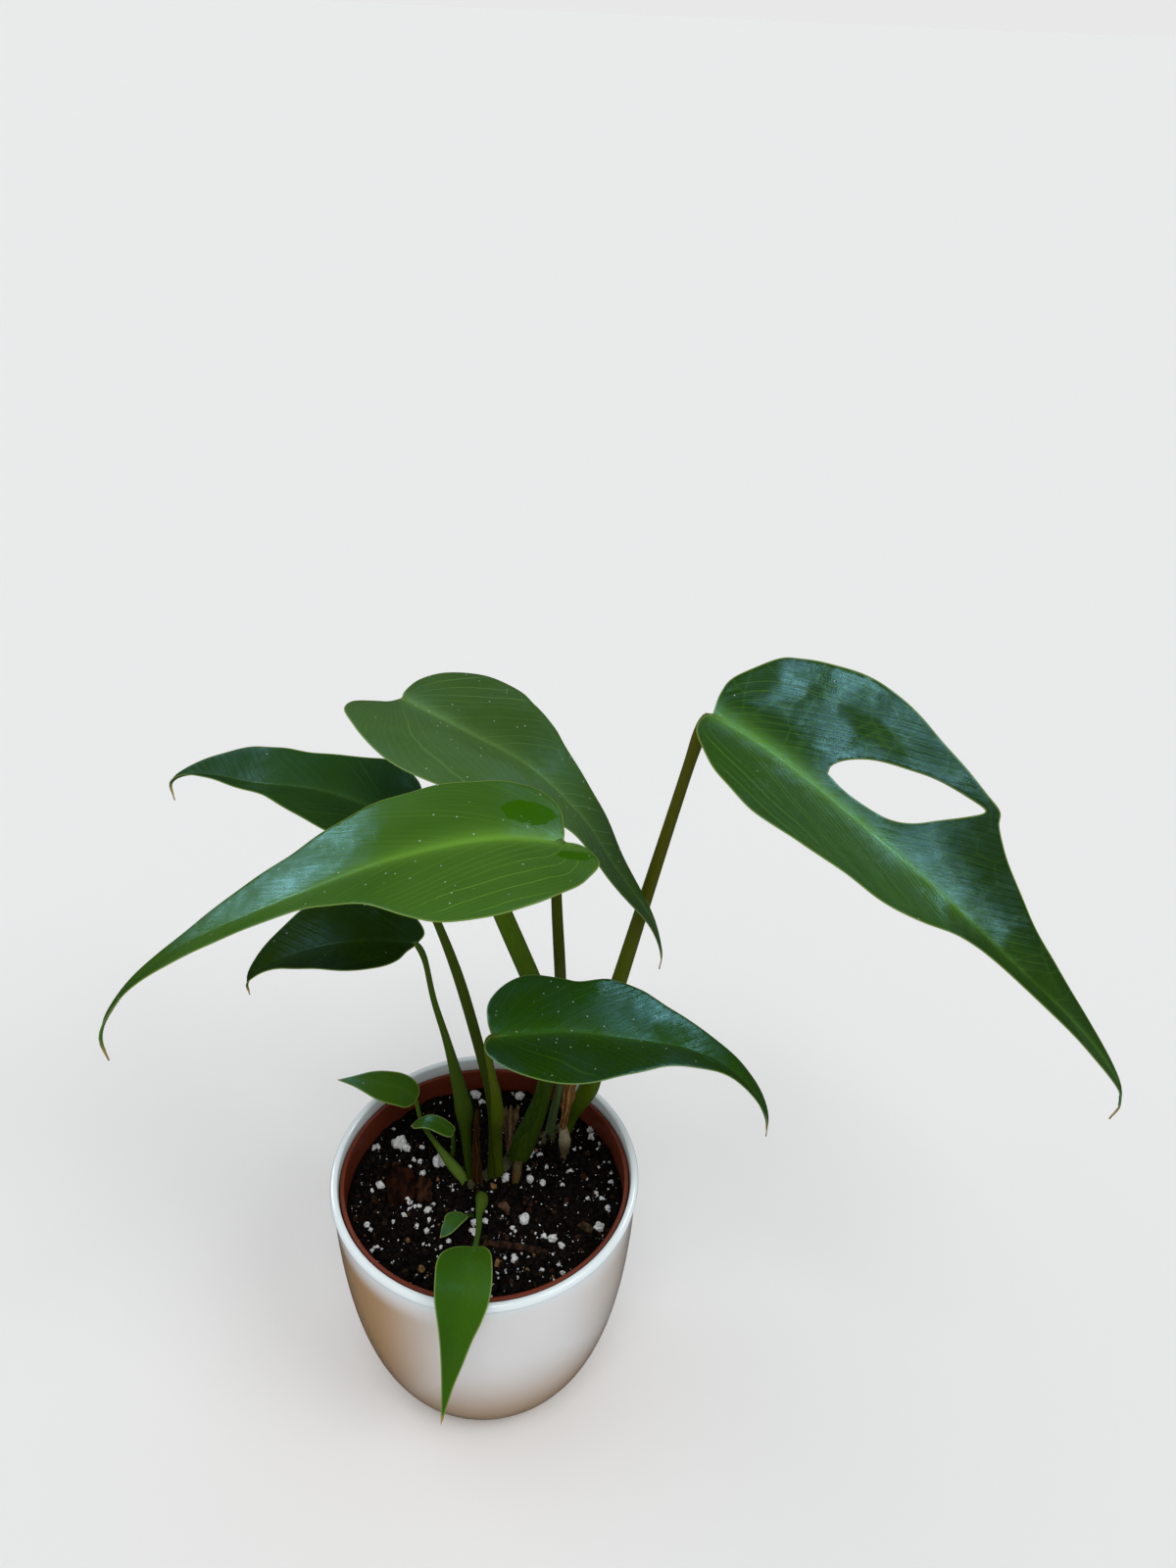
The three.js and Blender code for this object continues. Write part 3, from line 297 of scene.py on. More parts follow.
def piece(name, points, faces, look, replaces=None, values=None, flat=False):
    """A mesh object of the part. values holds numbers per point for its look."""
    mesh = mesh_of(name, points, faces)
    for key, numbers in (values or {}).items():
        layer = mesh.attributes.new(key, "FLOAT", "POINT")
        layer.data.foreach_set("value", np.asarray(numbers, np.float32))
    mesh.materials.append(look)
    mesh.polygons.foreach_set("use_smooth", [not flat] * len(mesh.polygons))
    mesh.update()
    made = link(name, mesh)
    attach(made, BODY)
    if replaces:
        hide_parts(replaces)
    return made


def inside_loop(points, loop):
    """Which flat points lie inside a closed loop."""
    x, y = points[:, :1], points[:, 1:]
    a, b = loop, np.roll(loop, -1, axis=0)
    crossed = (a[:, 1] > y) != (b[:, 1] > y)
    rise = np.where(b[:, 1] == a[:, 1], 1e-9, b[:, 1] - a[:, 1])
    meets = a[:, 0] + (b[:, 0] - a[:, 0]) * (y - a[:, 1]) / rise
    return (crossed & (x < meets)).sum(axis=1) % 2 == 1


def loop_distance(points, loop):
    """Distance of each flat point from a closed loop."""
    start, step = loop, np.roll(loop, -1, axis=0) - loop
    offset = points[:, None] - start
    t = np.clip((offset * step).sum(2) / (step**2).sum(1), 0, 1)
    return np.linalg.norm(offset - t[..., None] * step, axis=2).min(axis=1)


def point_normals(points, triangles):
    corners = points[triangles]
    facing = np.cross(corners[:, 1] - corners[:, 0], corners[:, 2] - corners[:, 0])
    sums = np.zeros_like(points)
    for k in range(3):
        np.add.at(sums, triangles[:, k], facing)
    return unit(sums)


def rim_edges(tris):
    """Edges that belong to one triangle only."""
    edges = dict.fromkeys(e for a, b, c in tris for e in ((a, b), (b, c), (c, a)))
    return [e for e in edges if (e[1], e[0]) not in edges]


def two_sided(tris, count):
    """The triangles on one layer of points and, turned over, on a second layer."""
    return [tuple(t) for t in tris] + [(a + count, c + count, b + count) for a, b, c in tris]


def thick_sheet(middle, tris, thickness):
    """A sheet thickened to both sides and closed along its edges."""
    up = point_normals(middle, tris)
    count = len(middle)
    faces = two_sided(tris, count) + [(b, a, a + count, b + count) for a, b in rim_edges(tris)]
    return np.vstack((middle + up * thickness / 2, middle - up * thickness / 2)), faces


def ring_faces(rows, sides):
    """Faces that join rings of points, and close both ends on the two points that follow them."""
    faces = []
    for k in range(rows - 1):
        for s in range(sides):
            t = (s + 1) % sides
            faces.append((k * sides + s, k * sides + t, (k + 1) * sides + t, (k + 1) * sides + s))
    for s in range(sides):
        t = (s + 1) % sides
        faces.append((t, s, rows * sides))
        faces.append(((rows - 1) * sides + s, (rows - 1) * sides + t, rows * sides + 1))
    return faces


def outward_faces(points, faces):
    """The faces turned so that the closed body has a positive volume."""
    volume = 0
    for f in faces:
        for k in range(1, len(f) - 1):
            volume += np.dot(points[f[0]], np.cross(points[f[k]], points[f[k + 1]]))
    return faces if volume > 0 else [tuple(reversed(f)) for f in faces]


class Blade:
    """A leaf blade as a bent sheet over flat places along and beside the midrib."""

    thickness = 0.6
    margin = 1.5  # width over which the blade thins out
    margin_share = 0.55  # of the full thickness, at the edge
    edge_bulge = 0.18
    crease = 1.2  # rounding of the fold at the midrib
    rib_end = 0.45  # half width of the midrib at the tip
    rib_gain = 1.7  # what it gains towards the petiole
    groove, keel = 0.25, 0.9  # sink of the midrib above and its height below, in half widths
    swell = 0.35
    rows = (0, 0.5, 1.1, 1.9, 2.9)  # close rows of the mesh beside the midrib
    fan = 16  # spread of the veins that start at the petiole
    full_size = 150  # length of a blade with a full midrib and tip

    def __init__(self, name):
        self.name = name
        self.leaf = LEAVES[name]
        self.spine = Spine(self.leaf["rib"], steps=16)
        self.length = self.spine.length
        tip = (self.length, 0)
        left = smooth([(0, 0)] + self.leaf["left"] + [tip], 8)
        right = smooth([(0, 0)] + self.leaf["right"] + [tip], 8) * (1, -1)
        self.outline = np.vstack((left, right[-2:0:-1]))
        slot = self.leaf.get("slot")
        self.slot = smooth(slot + slot[:1], 5)[:-1] if slot else None
        self.loops = [self.outline] if self.slot is None else [self.outline, self.slot]
        self.phase = 1.7 * "abcdefghij".index(name)

    def sheet(self, flat):
        """Places on the middle of the blade."""
        along, beside = flat[:, 0], flat[:, 1]
        point, tangent, up, side = self.spine.at(np.minimum(along, self.length))
        part = np.clip(along, 0, self.length) / self.length
        turn = np.radians(self.leaf["roll"] + self.leaf["twist"] * part)[:, None]
        normal = up * np.cos(turn) + side * np.sin(turn)
        across = np.cross(normal, tangent)
        fold = np.radians(np.interp(part, (0, 1), self.leaf["fold"]))
        reach = np.hypot(beside, self.crease) - self.crease
        rise = reach * np.sin(fold) - self.leaf["arch"] * beside**2 / 60 + self.waves(along, beside)
        return point + across * (beside * np.cos(fold))[:, None] + normal * rise[:, None]

    def waves(self, along, beside):
        """Low swells of the blade, stronger towards the margin."""
        side = np.sign(beside)
        swell = np.sin(along / 7.5 + self.phase + side) + 0.6 * np.sin(along / 3.9 - side * self.phase)
        return self.swell * swell * step_between(np.abs(beside), 3, 26)

    def lead(self, along, beside):
        """Which side vein a place lies on, as the distance along the midrib where the vein starts."""
        left, right = self.leaf["slant"]
        slant = np.where(beside > 0, left, right)
        reach = np.abs(beside)
        ahead = along - self.leaf["curl"] * reach**2
        fan = np.arctan2(reach, ahead) - np.arctan2(1, slant)
        return np.where(ahead > slant * reach, ahead - slant * reach, -self.fan * fan)

    def in_blade(self, flat):
        held = inside_loop(flat, self.outline)
        return held if self.slot is None else held & ~inside_loop(flat, self.slot)

    def edge(self, flat):
        return np.min([loop_distance(flat, loop) for loop in self.loops], axis=0)

    def triangles(self):
        """Flat places and triangles that fill the outline."""
        cell = self.leaf["cell"]
        low, high = self.outline.min(axis=0), self.outline.max(axis=0)
        last = self.rows[-1]
        lines = list(self.rows) + list(np.arange(last + cell, max(-low[1], high[1]), cell))
        rows = [side * v for v in lines for side in ((1, -1) if v else (1,))]
        columns = np.arange(low[0], high[0], cell)
        grid = np.array([(x + (k % 2) * cell / 2, y) for k, y in enumerate(rows) for x in columns])
        near = grid[self.in_blade(grid)]
        near = near[self.edge(near) > 0.4 * cell]
        near = near[(np.abs(near[:, 1]) > last + 0.05) | (near[:, 0] > 0.3)]
        edges, start = [], 0
        for loop in self.loops:
            count = len(loop)
            edges += [(start + i, start + (i + 1) % count) for i in range(count)]
            start += count
        flat = np.vstack(self.loops + [near])
        verts, _, faces, *_ = delaunay_2d_cdt([Vector(p) for p in flat], edges, [], 0, 1e-5)
        flat = np.array([tuple(v) for v in verts])
        faces = np.array(faces)
        return flat, faces[self.in_blade(flat[faces].mean(axis=1))]

    def build(self, look):
        flat, tris = self.triangles()
        middle = self.sheet(flat)
        up = point_normals(middle, tris)
        along, beside = flat[:, 0], flat[:, 1]
        part = np.clip(along / self.length, 0, 1)
        scale = min(1, self.length / self.full_size)
        rib = (self.rib_end + self.rib_gain * (1 - part) ** 1.3) * scale
        ridge = np.exp(-(beside / rib) ** 2) * step_between(along, -3 * scale, 2 * scale)
        edge = self.edge(flat)
        thin = self.margin_share
        half = self.thickness / 2 * (thin + (1 - thin) * step_between(edge, 0, self.margin))
        top = middle + up * (half - self.groove * rib * ridge)[:, None]
        under = middle - up * (half + self.keel * rib * ridge)[:, None]
        count = len(flat)
        rim = rim_edges(tris)
        outward = np.zeros_like(middle)
        for a, b in rim:
            push = np.cross(unit(middle[b] - middle[a]), up[a])
            outward[a] += push
            outward[b] += push
        ring = sorted({v for e in rim for v in e})
        place = {v: 2 * count + k for k, v in enumerate(ring)}
        points = np.vstack((top, under, middle[ring] + unit(outward[ring]) * self.edge_bulge))
        faces = two_sided(tris, count)
        for a, b in rim:
            faces += [(b, a, place[a], place[b]), (place[b], place[a], a + count, b + count)]
        tip = step_between(along, self.length - 11 * scale, self.length - 2 * scale)
        values = dict(vein=self.lead(along, beside), rib=np.abs(beside) / rib, edge=edge, along=along,
                      beside=beside, part=part, tip=tip)
        values = {key: np.concatenate((v, v, v[ring])) for key, v in values.items()}
        values["under"] = np.concatenate((np.zeros(count), np.ones(count + len(ring))))
        return piece("blade_" + self.name, points, faces, look, "leaf_" + self.name, values)


def tube(path, sides, step, shape):
    """A tapering shoot with round ends. shape(part, angle, distance) scales its radius."""
    spine = Spine(path, steps=8)
    count = max(4, round(spine.length / step))
    first, last = path[0][3], path[-1][3]
    caps = np.array((0.35, 0.75))
    bulge = 0.6 * caps
    body = np.linspace(0, spine.length, count + 1)
    distance = np.concatenate((-first * bulge[::-1], body, spine.length + last * bulge))
    narrow = np.sqrt(1 - caps**2)
    narrow = np.concatenate((narrow[::-1], np.ones(count + 1), narrow))
    radius = np.interp(distance, spine.travel, spine.extra[:, 0]) * narrow
    point, tangent, up, side = spine.at(distance)
    angle = circle(sides)
    part = np.clip(distance / spine.length, 0, 1)
    reach = (radius[:, None] * shape(part[:, None], angle, distance[:, None]))[..., None]
    rings = point[:, None] + reach * (side[:, None] * np.cos(angle)[:, None]
                                      + up[:, None] * np.sin(angle)[:, None])
    ends = (point[0] - tangent[0] * first * 0.1, point[-1] + tangent[-1] * last * 0.1)
    points = np.vstack((rings.reshape(-1, 3), ends))
    total = len(distance)
    along = np.concatenate((np.repeat(distance, sides), [0, spine.length]))
    values = dict(along=along, turn=np.concatenate((np.tile(angle, total), [0, 0])),
                  part=np.clip(along / spine.length, 0, 1))
    return points, outward_faces(points, ring_faces(total, sides)), values


def lathe(profile, segments):
    """A body turned from a closed profile whose ends lie on the axis."""
    profile = np.array(profile, float)
    inner = profile[1:-1]
    angle = circle(segments)
    rings = np.stack([np.outer(inner[:, 0], np.cos(angle)), np.outer(inner[:, 0], np.sin(angle)),
                      np.repeat(inner[:, 1:], segments, axis=1)], axis=-1)
    points = np.vstack((rings.reshape(-1, 3), [(0, 0, profile[0, 1]), (0, 0, profile[-1, 1])]))
    return points, outward_faces(points, ring_faces(len(inner), segments))


# Materials

class Wire:
    """The output of a node. Arithmetic with it adds nodes to its material."""

    def __init__(self, look, socket):
        self.look = look
        self.socket = socket

    def __add__(self, other):
        return self.look.math("ADD", self, other)

    def __sub__(self, other):
        return self.look.math("SUBTRACT", self, other)

    def __rsub__(self, other):
        return self.look.math("SUBTRACT", other, self)

    def __mul__(self, other):
        return self.look.math("MULTIPLY", self, other)

    def __truediv__(self, other):
        return self.look.math("DIVIDE", self, other)

    def __pow__(self, other):
        return self.look.math("POWER", self, other)

    def __abs__(self):
        return self.look.math("ABSOLUTE", self)


class Look:
    """One Principled material with short calls for its procedural inputs."""

    def __init__(self, name, **sockets):
        self.material = bpy.data.materials.new(name)
        self.material.use_nodes = True
        self.tree = self.material.node_tree
        self.shader = self.tree.nodes["Principled BSDF"]
        for key, value in sockets.items():
            self.put(self.shader.inputs[key.replace("_", " ")], value)

    def put(self, socket, value):
        if isinstance(value, Wire):
            self.tree.links.new(value.socket, socket)
        elif isinstance(value, tuple) and socket.type == "RGBA":
            socket.default_value = (*value, 1)
        else:
            socket.default_value = value

    def node(self, kind, inputs, output=0, **settings):
        made = self.tree.nodes.new("ShaderNode" + kind)
        for key, value in settings.items():
            setattr(made, key, value)
        for key, value in inputs.items():
            self.put(made.inputs[key], value)
        return Wire(self, made.outputs[output])

    def value(self, name):
        return self.node("Attribute", {}, "Fac", attribute_name=name)

    def coords(self):
        return self.node("TexCoord", {}, "Object")

    def axes(self):
        return [self.node("SeparateXYZ", {"Vector": self.coords()}, axis) for axis in "XYZ"]

    def vector(self, x, y=0.0, z=0.0):
        return self.node("CombineXYZ", {"X": x, "Y": y, "Z": z})

    def math(self, operation, a, b=0.0):
        return self.node("Math", {0: a, 1: b}, operation=operation)

    def rise(self, x, low, high, bottom=0.0, top=1.0):
        inputs = {"Value": x, "From Min": low, "From Max": high, "To Min": bottom, "To Max": top}
        return self.node("MapRange", inputs, interpolation_type="SMOOTHSTEP")

    def swing(self, x, bottom, top):
        """From bottom to top over the usual spread of a noise."""
        return self.rise(x, 0.3, 0.7, bottom, top)

    def noise(self, scale, detail=2.0, rough=0.5, vector=None):
        inputs = {"Vector": vector or self.coords(), "Scale": scale, "Detail": detail, "Roughness": rough}
        return self.node("TexNoise", inputs, "Fac")

    def cells(self, scale, output, **settings):
        return self.node("TexVoronoi", {"Vector": self.coords(), "Scale": scale}, output, **settings)

    def specks(self, scale, amount):
        """Sparse specks: the middles of some cells of a cell pattern."""
        pick = self.node("SeparateColor", {"Color": self.cells(scale, "Color")})
        chosen = self.math("GREATER_THAN", pick, 1 - 0.22 * amount)
        return self.rise(self.cells(scale, "Distance"), 0.05, 0.13, 0.8, 0) * chosen

    def mix(self, factor, a, b, blend="MIX"):
        return self.node("Mix", {0: factor, 6: a, 7: b}, 2, data_type="RGBA", blend_type=blend)

    def bump(self, height, distance, strength=1.0, normal=None):
        inputs = {"Height": height, "Distance": distance * MM, "Strength": strength}
        if normal is not None:
            inputs["Normal"] = normal
        return self.node("Bump", inputs, "Normal")

    def finish(self, colour, rough, **others):
        for key, value in dict(others, Base_Color=colour, Roughness=rough).items():
            self.put(self.shader.inputs[key.replace("_", " ")], value)
        return self.material


def shaded(colour, share):
    return tuple(share * c for c in colour)


SHEEN = (0.36, 0.82, 1.0)  # window light mirrored by wax
MARGIN = (0.2, 0.29, 0.06)
DRIP_TIP = (0.4, 0.26, 0.07)
DUST = (0.5, 0.56, 0.56)
KNEE_GREEN = (0.1, 0.2, 0.04)  # top of a petiole


def leaf_look(name, left, right, rib, gap, veins, gloss, level, core, far, dust, fade=0.45, net=0,
              quilt=0.6, run=0.0, grain=0.12, wet=(), dull=()):
    """Waxy leaf: pale midrib, side veins, fine lines along them, thin margin, tan drip tip."""
    look = Look(name, Specular_Tint=SHEEN)
    vein, mid, edge, under, beside, part = map(look.value, ("vein", "rib", "edge", "under", "beside", "part"))
    reach = abs(beside)
    vein = vein - reach**1.15 * run
    streak = look.noise(1, 4, 0.65, look.vector(vein * 1.1, beside * 0.14))
    # Ground: each half in its own green (leaf a's darker half is painted shade), darker towards the tip,
    # clouded, streaked, paler at the midrib
    colour = look.mix(look.rise(beside, -4, 2), right, left)
    colour = look.mix(look.rise(part, 0.4, 1, 0, far), colour, shaded(right, 0.4))
    colour = look.mix(look.rise(look.noise(26), 0.35, 0.65, 0, 0.5), colour, (0.7, 0.78, 0.6), "MULTIPLY")
    colour = look.mix(look.rise(streak, 0.35, 0.7, 0, 0.35), colour, (0.7, 0.76, 0.6), "MULTIPLY")
    outer = look.rise(part, 0.05, 0.7, 1, fade)
    glow = look.rise(reach, 0.5, 11, 0.65 * core, 0) * outer
    colour = look.mix(glow, colour, tuple(0.5 * (g + p) for g, p in zip(left, rib)))

    # Side veins in steps of gap, each with its own strength, thin lines between them, then the midrib
    drift = look.noise(70) * 2.4 + vein
    steps = drift / gap
    number = look.math("ROUND", steps)
    away = abs(steps - number) * gap
    seed = look.math("SIGN", beside) * 0.37 + number
    chance = look.node("TexWhiteNoise", {"W": seed}, "Value", noise_dimensions="1D")
    line = look.rise(away, 0.08, 0.5, 1, 0) * look.rise(chance, 0.15, 0.9, 0.1, 1) * look.rise(edge, 0.6, 6)
    colour = look.mix(line * look.rise(beside, -1, 1, veins[1], veins[0]), colour, rib)
    thin = look.rise(look.math("PINGPONG", drift, gap / 8), 0.03, 0.3, 0.1, 0)
    colour = look.mix(thin, colour, rib)
    if net:
        mesh = look.cells(95, "Distance", feature="DISTANCE_TO_EDGE")
        colour = look.mix(look.rise(mesh, 0.01, 0.06, net, 0) * look.rise(beside, 2, 8), colour, rib)
    colour = look.mix(look.rise(mid, 0.5, 3.2, 0.5 * core, 0) * outer, colour, rib)
    colour = look.mix(look.rise(mid, 0.2, 1.4, 0.7 * core, 0) * outer, colour, shaded(rib, 1.2))

    # Wet stains, dull patches darkened with painted shade, the pale back, the margin, the tip and dust
    shine = look.rise(look.noise(60, 3, 0.6), 0.35, 0.65, 0.5 * level, 1.2 * level)
    for place, size in wet:
        stain = patch(look, place, size, 0.1)
        colour = look.mix(stain, colour, (right[0] * 0.55, right[1] * 0.82, 0.0))
        shine = shine * (1 - stain)
    # Dull patches lose their shine, and by their shade value they are darkened with painted shade
    for place, size, shade in dull:
        spot = patch(look, place, size, 0.7)
        shine = shine * (1 - spot * 0.95)
        colour = look.mix(spot * shade, colour, shaded(right, 0.25))
    back = tuple(0.5 * g + 0.4 * p + 0.01 for g, p in zip(left, rib))
    colour = look.mix(under * 0.75, colour, back)
    colour = look.mix(look.rise(edge, 0.1, 0.5, 0.75, 0), colour, MARGIN)
    colour = look.mix(look.value("tip"), colour, DRIP_TIP)
    specks = look.specks(330, dust)
    colour = look.mix(specks, colour, DUST)

    rough = look.rise(look.noise(45, 3, 0.6), 0.35, 0.65, gloss - 0.08, gloss + 0.16)
    rough = rough + look.swing(streak, -0.04, 0.1) + look.math("MAXIMUM", under, specks) * 0.3
    swells = look.bump(look.noise(48), 1.6 * quilt)
    pillow = (away / (gap / 2)) ** 2.0 * -0.8
    height = streak * 1.6 + look.noise(900, 3, 0.6) + (pillow - line * 0.8)
    return look.finish(colour, rough, Specular_IOR_Level=shine, Normal=look.bump(height, grain, 0.6, swells))


def patch(look, place, size, softness):
    """1 inside a ragged oval round a place on the blade, 0 outside it."""
    x = (look.value("along") - place[0]) / size[0]
    y = (look.value("beside") - place[1]) / size[1]
    ragged = look.noise(260, 3) * 1.2 + (x * x + y * y)
    return look.rise(ragged, 1.6 - softness, 1.6 + softness, 0.9, 0)


def shoot_look(name, low, high, edge):
    """Petiole: colour changes upwards, with fine lengthwise lines and small pale flecks."""
    look = Look(name, Specular_IOR_Level=0.1, Specular_Tint=SHEEN)
    part, turn = look.value("part"), look.value("turn")
    lines = look.noise(9, 3, 0.6, look.vector(look.math("SINE", turn) * 2.2, look.math("COSINE", turn) * 2.2,
                                              look.value("along") * 0.02))
    colour = look.mix(look.rise(part, 0.05, 0.75), low, high)
    colour = look.mix(look.rise(lines, 0.42, 0.72, 0, 0.45), colour, edge)
    colour = look.mix(look.rise(look.noise(1400), 0.66, 0.74, 0, 0.3), colour, edge)
    colour = look.mix(look.rise(part, 0.95, 0.985), colour, KNEE_GREEN)
    return look.finish(colour, look.swing(lines, 0.4, 0.55),
                       Normal=look.bump(lines + look.noise(700) * 0.4, 0.25, 0.6))


def mottled_look(name, dark, light, scale, rough, bump):
    """Uneven natural surface between two colours, with grain and relief."""
    look = Look(name, Specular_IOR_Level=0.05)
    coarse = look.noise(scale, 5, 0.62)
    fine = look.noise(scale * 6, 3, 0.6)
    colour = look.mix(look.rise(coarse, 0.32, 0.68), dark, light)
    colour = look.mix(look.rise(fine, 0.45, 0.8, 0, 0.4), colour, light)
    return look.finish(colour, look.swing(fine, rough - 0.08, rough + 0.08),
                       Normal=look.bump(fine * 0.5 + coarse, bump))


def wood_look(name, dark, light):
    """Bark and wood: grain lines along each bit."""
    look = Look(name, Specular_IOR_Level=0.05)
    stretched = look.node("Mapping", {"Vector": look.coords(), "Scale": (380, 150, 300)})
    grain = look.noise(1, 4, 0.6, stretched)
    colour = look.mix(look.rise(grain, 0.38, 0.66), dark, light)
    return look.finish(colour, look.swing(grain, 0.75, 0.95), Normal=look.bump(grain, 0.5))


def glaze_look():
    """White glaze with painted light: a cool sky reflection at the rim and a warm reflection at the front's
    foot and left; faint clouding, a few specks.
    """
    look = Look("glaze", Specular_IOR_Level=0.55, Coat_Weight=0.35, Coat_Roughness=0.04)
    cloud = look.noise(14, 3)
    x, y, z = look.axes()
    # Painted warm reflection: on the front only, at the foot and at the left and right edges
    front = look.rise(y, -0.02, 0.03, 1, 0.12)
    sides = look.math("MAXIMUM", look.rise(x, -0.045, 0.002, 1, 0), look.rise(x, 0.035, 0.066, 0, 0.4))
    painted_warm_reflection = look.math("MAXIMUM", look.rise(z, 0.02, 0.085, 0.85, 0), sides)
    painted_warm_reflection = painted_warm_reflection * look.rise(z, 0.105, 0.119, 1, 0)
    colour = look.mix(look.swing(cloud, 0.0, 1.0), (0.83, 0.82, 0.82), (0.88, 0.87, 0.87))
    colour = look.mix(painted_warm_reflection * front, colour, (0.5, 0.31, 0.155))
    # Painted cool sky reflection on the rim
    colour = look.mix(look.rise(z, 0.116, 0.121), colour, (0.84, 0.92, 0.95))
    colour = look.mix(look.specks(130, 0.1) * 0.5, colour, (0.35, 0.3, 0.26))
    return look.finish(colour, look.swing(cloud, 0.1, 0.16), Normal=look.bump(look.noise(130, 1), 0.05, 0.35))


def nursery_look():
    """Brown moulded plastic with fine scuffs and dried splashes of soil."""
    look = Look("nursery_plastic", Specular_IOR_Level=0.25)
    scuff = look.noise(240, 4, 0.65)
    colour = look.mix(look.swing(look.noise(22), 0.0, 1.0), (0.14, 0.024, 0.009), (0.19, 0.036, 0.015))
    colour = look.mix(look.rise(scuff, 0.58, 0.75, 0, 0.3), colour, (0.24, 0.09, 0.055))
    soiled = look.rise(look.noise(480, 3, 0.7), 0.64, 0.7, 0, 0.8)
    colour = look.mix(soiled, colour, (0.01, 0.007, 0.005))
    return look.finish(colour, look.swing(scuff, 0.36, 0.55), Normal=look.bump(scuff, 0.08, 0.5))


def soil_look():
    """Wet black potting mix with brown crumbs and fine white dust of perlite."""
    look = Look("soil_mix", Specular_IOR_Level=0.04)
    crumb = look.noise(520, 5, 0.7)
    colour = look.mix(look.rise(crumb, 0.4, 0.75), (0.0022, 0.0018, 0.0015), (0.013, 0.008, 0.005))
    colour = look.mix(look.specks(420, 0.5), colour, (0.45, 0.45, 0.43))
    return look.finish(colour, look.swing(crumb, 0.6, 0.95), Normal=look.bump(crumb, 0.9))


def root_look(name, top, middle, tip):
    """Aerial root that darkens from its cap downwards."""
    look = Look("root_" + name, Specular_IOR_Level=0.1)
    part = look.value("part")
    grain = look.noise(420, 4, 0.6)
    colour = look.mix(look.rise(part, 0.25, 0.6), top, middle)
    colour = look.mix(look.rise(part, 0.7, 0.85), colour, tip)
    colour = look.mix(look.rise(grain, 0.45, 0.75, 0, 0.5), colour, shaded(middle, 0.4))
    return look.finish(colour, look.swing(grain, 0.65, 0.85), Normal=look.bump(grain, 0.25))


def paper_look(name, dark, light):
    """Dry papery sheath with dark and pale strips along its length."""
    look = Look("dry_paper_" + name, Specular_IOR_Level=0.1)
    fold = look.noise(90) * 1.5 + look.value("across")
    strips = look.noise(2.6, 3, 0.6, look.vector(fold))
    fibre = look.noise(700, 3)
    colour = look.mix(look.rise(strips, 0.38, 0.62), dark, light)
    colour = look.mix(look.rise(fibre, 0.4, 0.7, 0, 0.4), colour, dark)
    return look.finish(colour, look.swing(fibre, 0.6, 0.85), Normal=look.bump(fibre, 0.15))


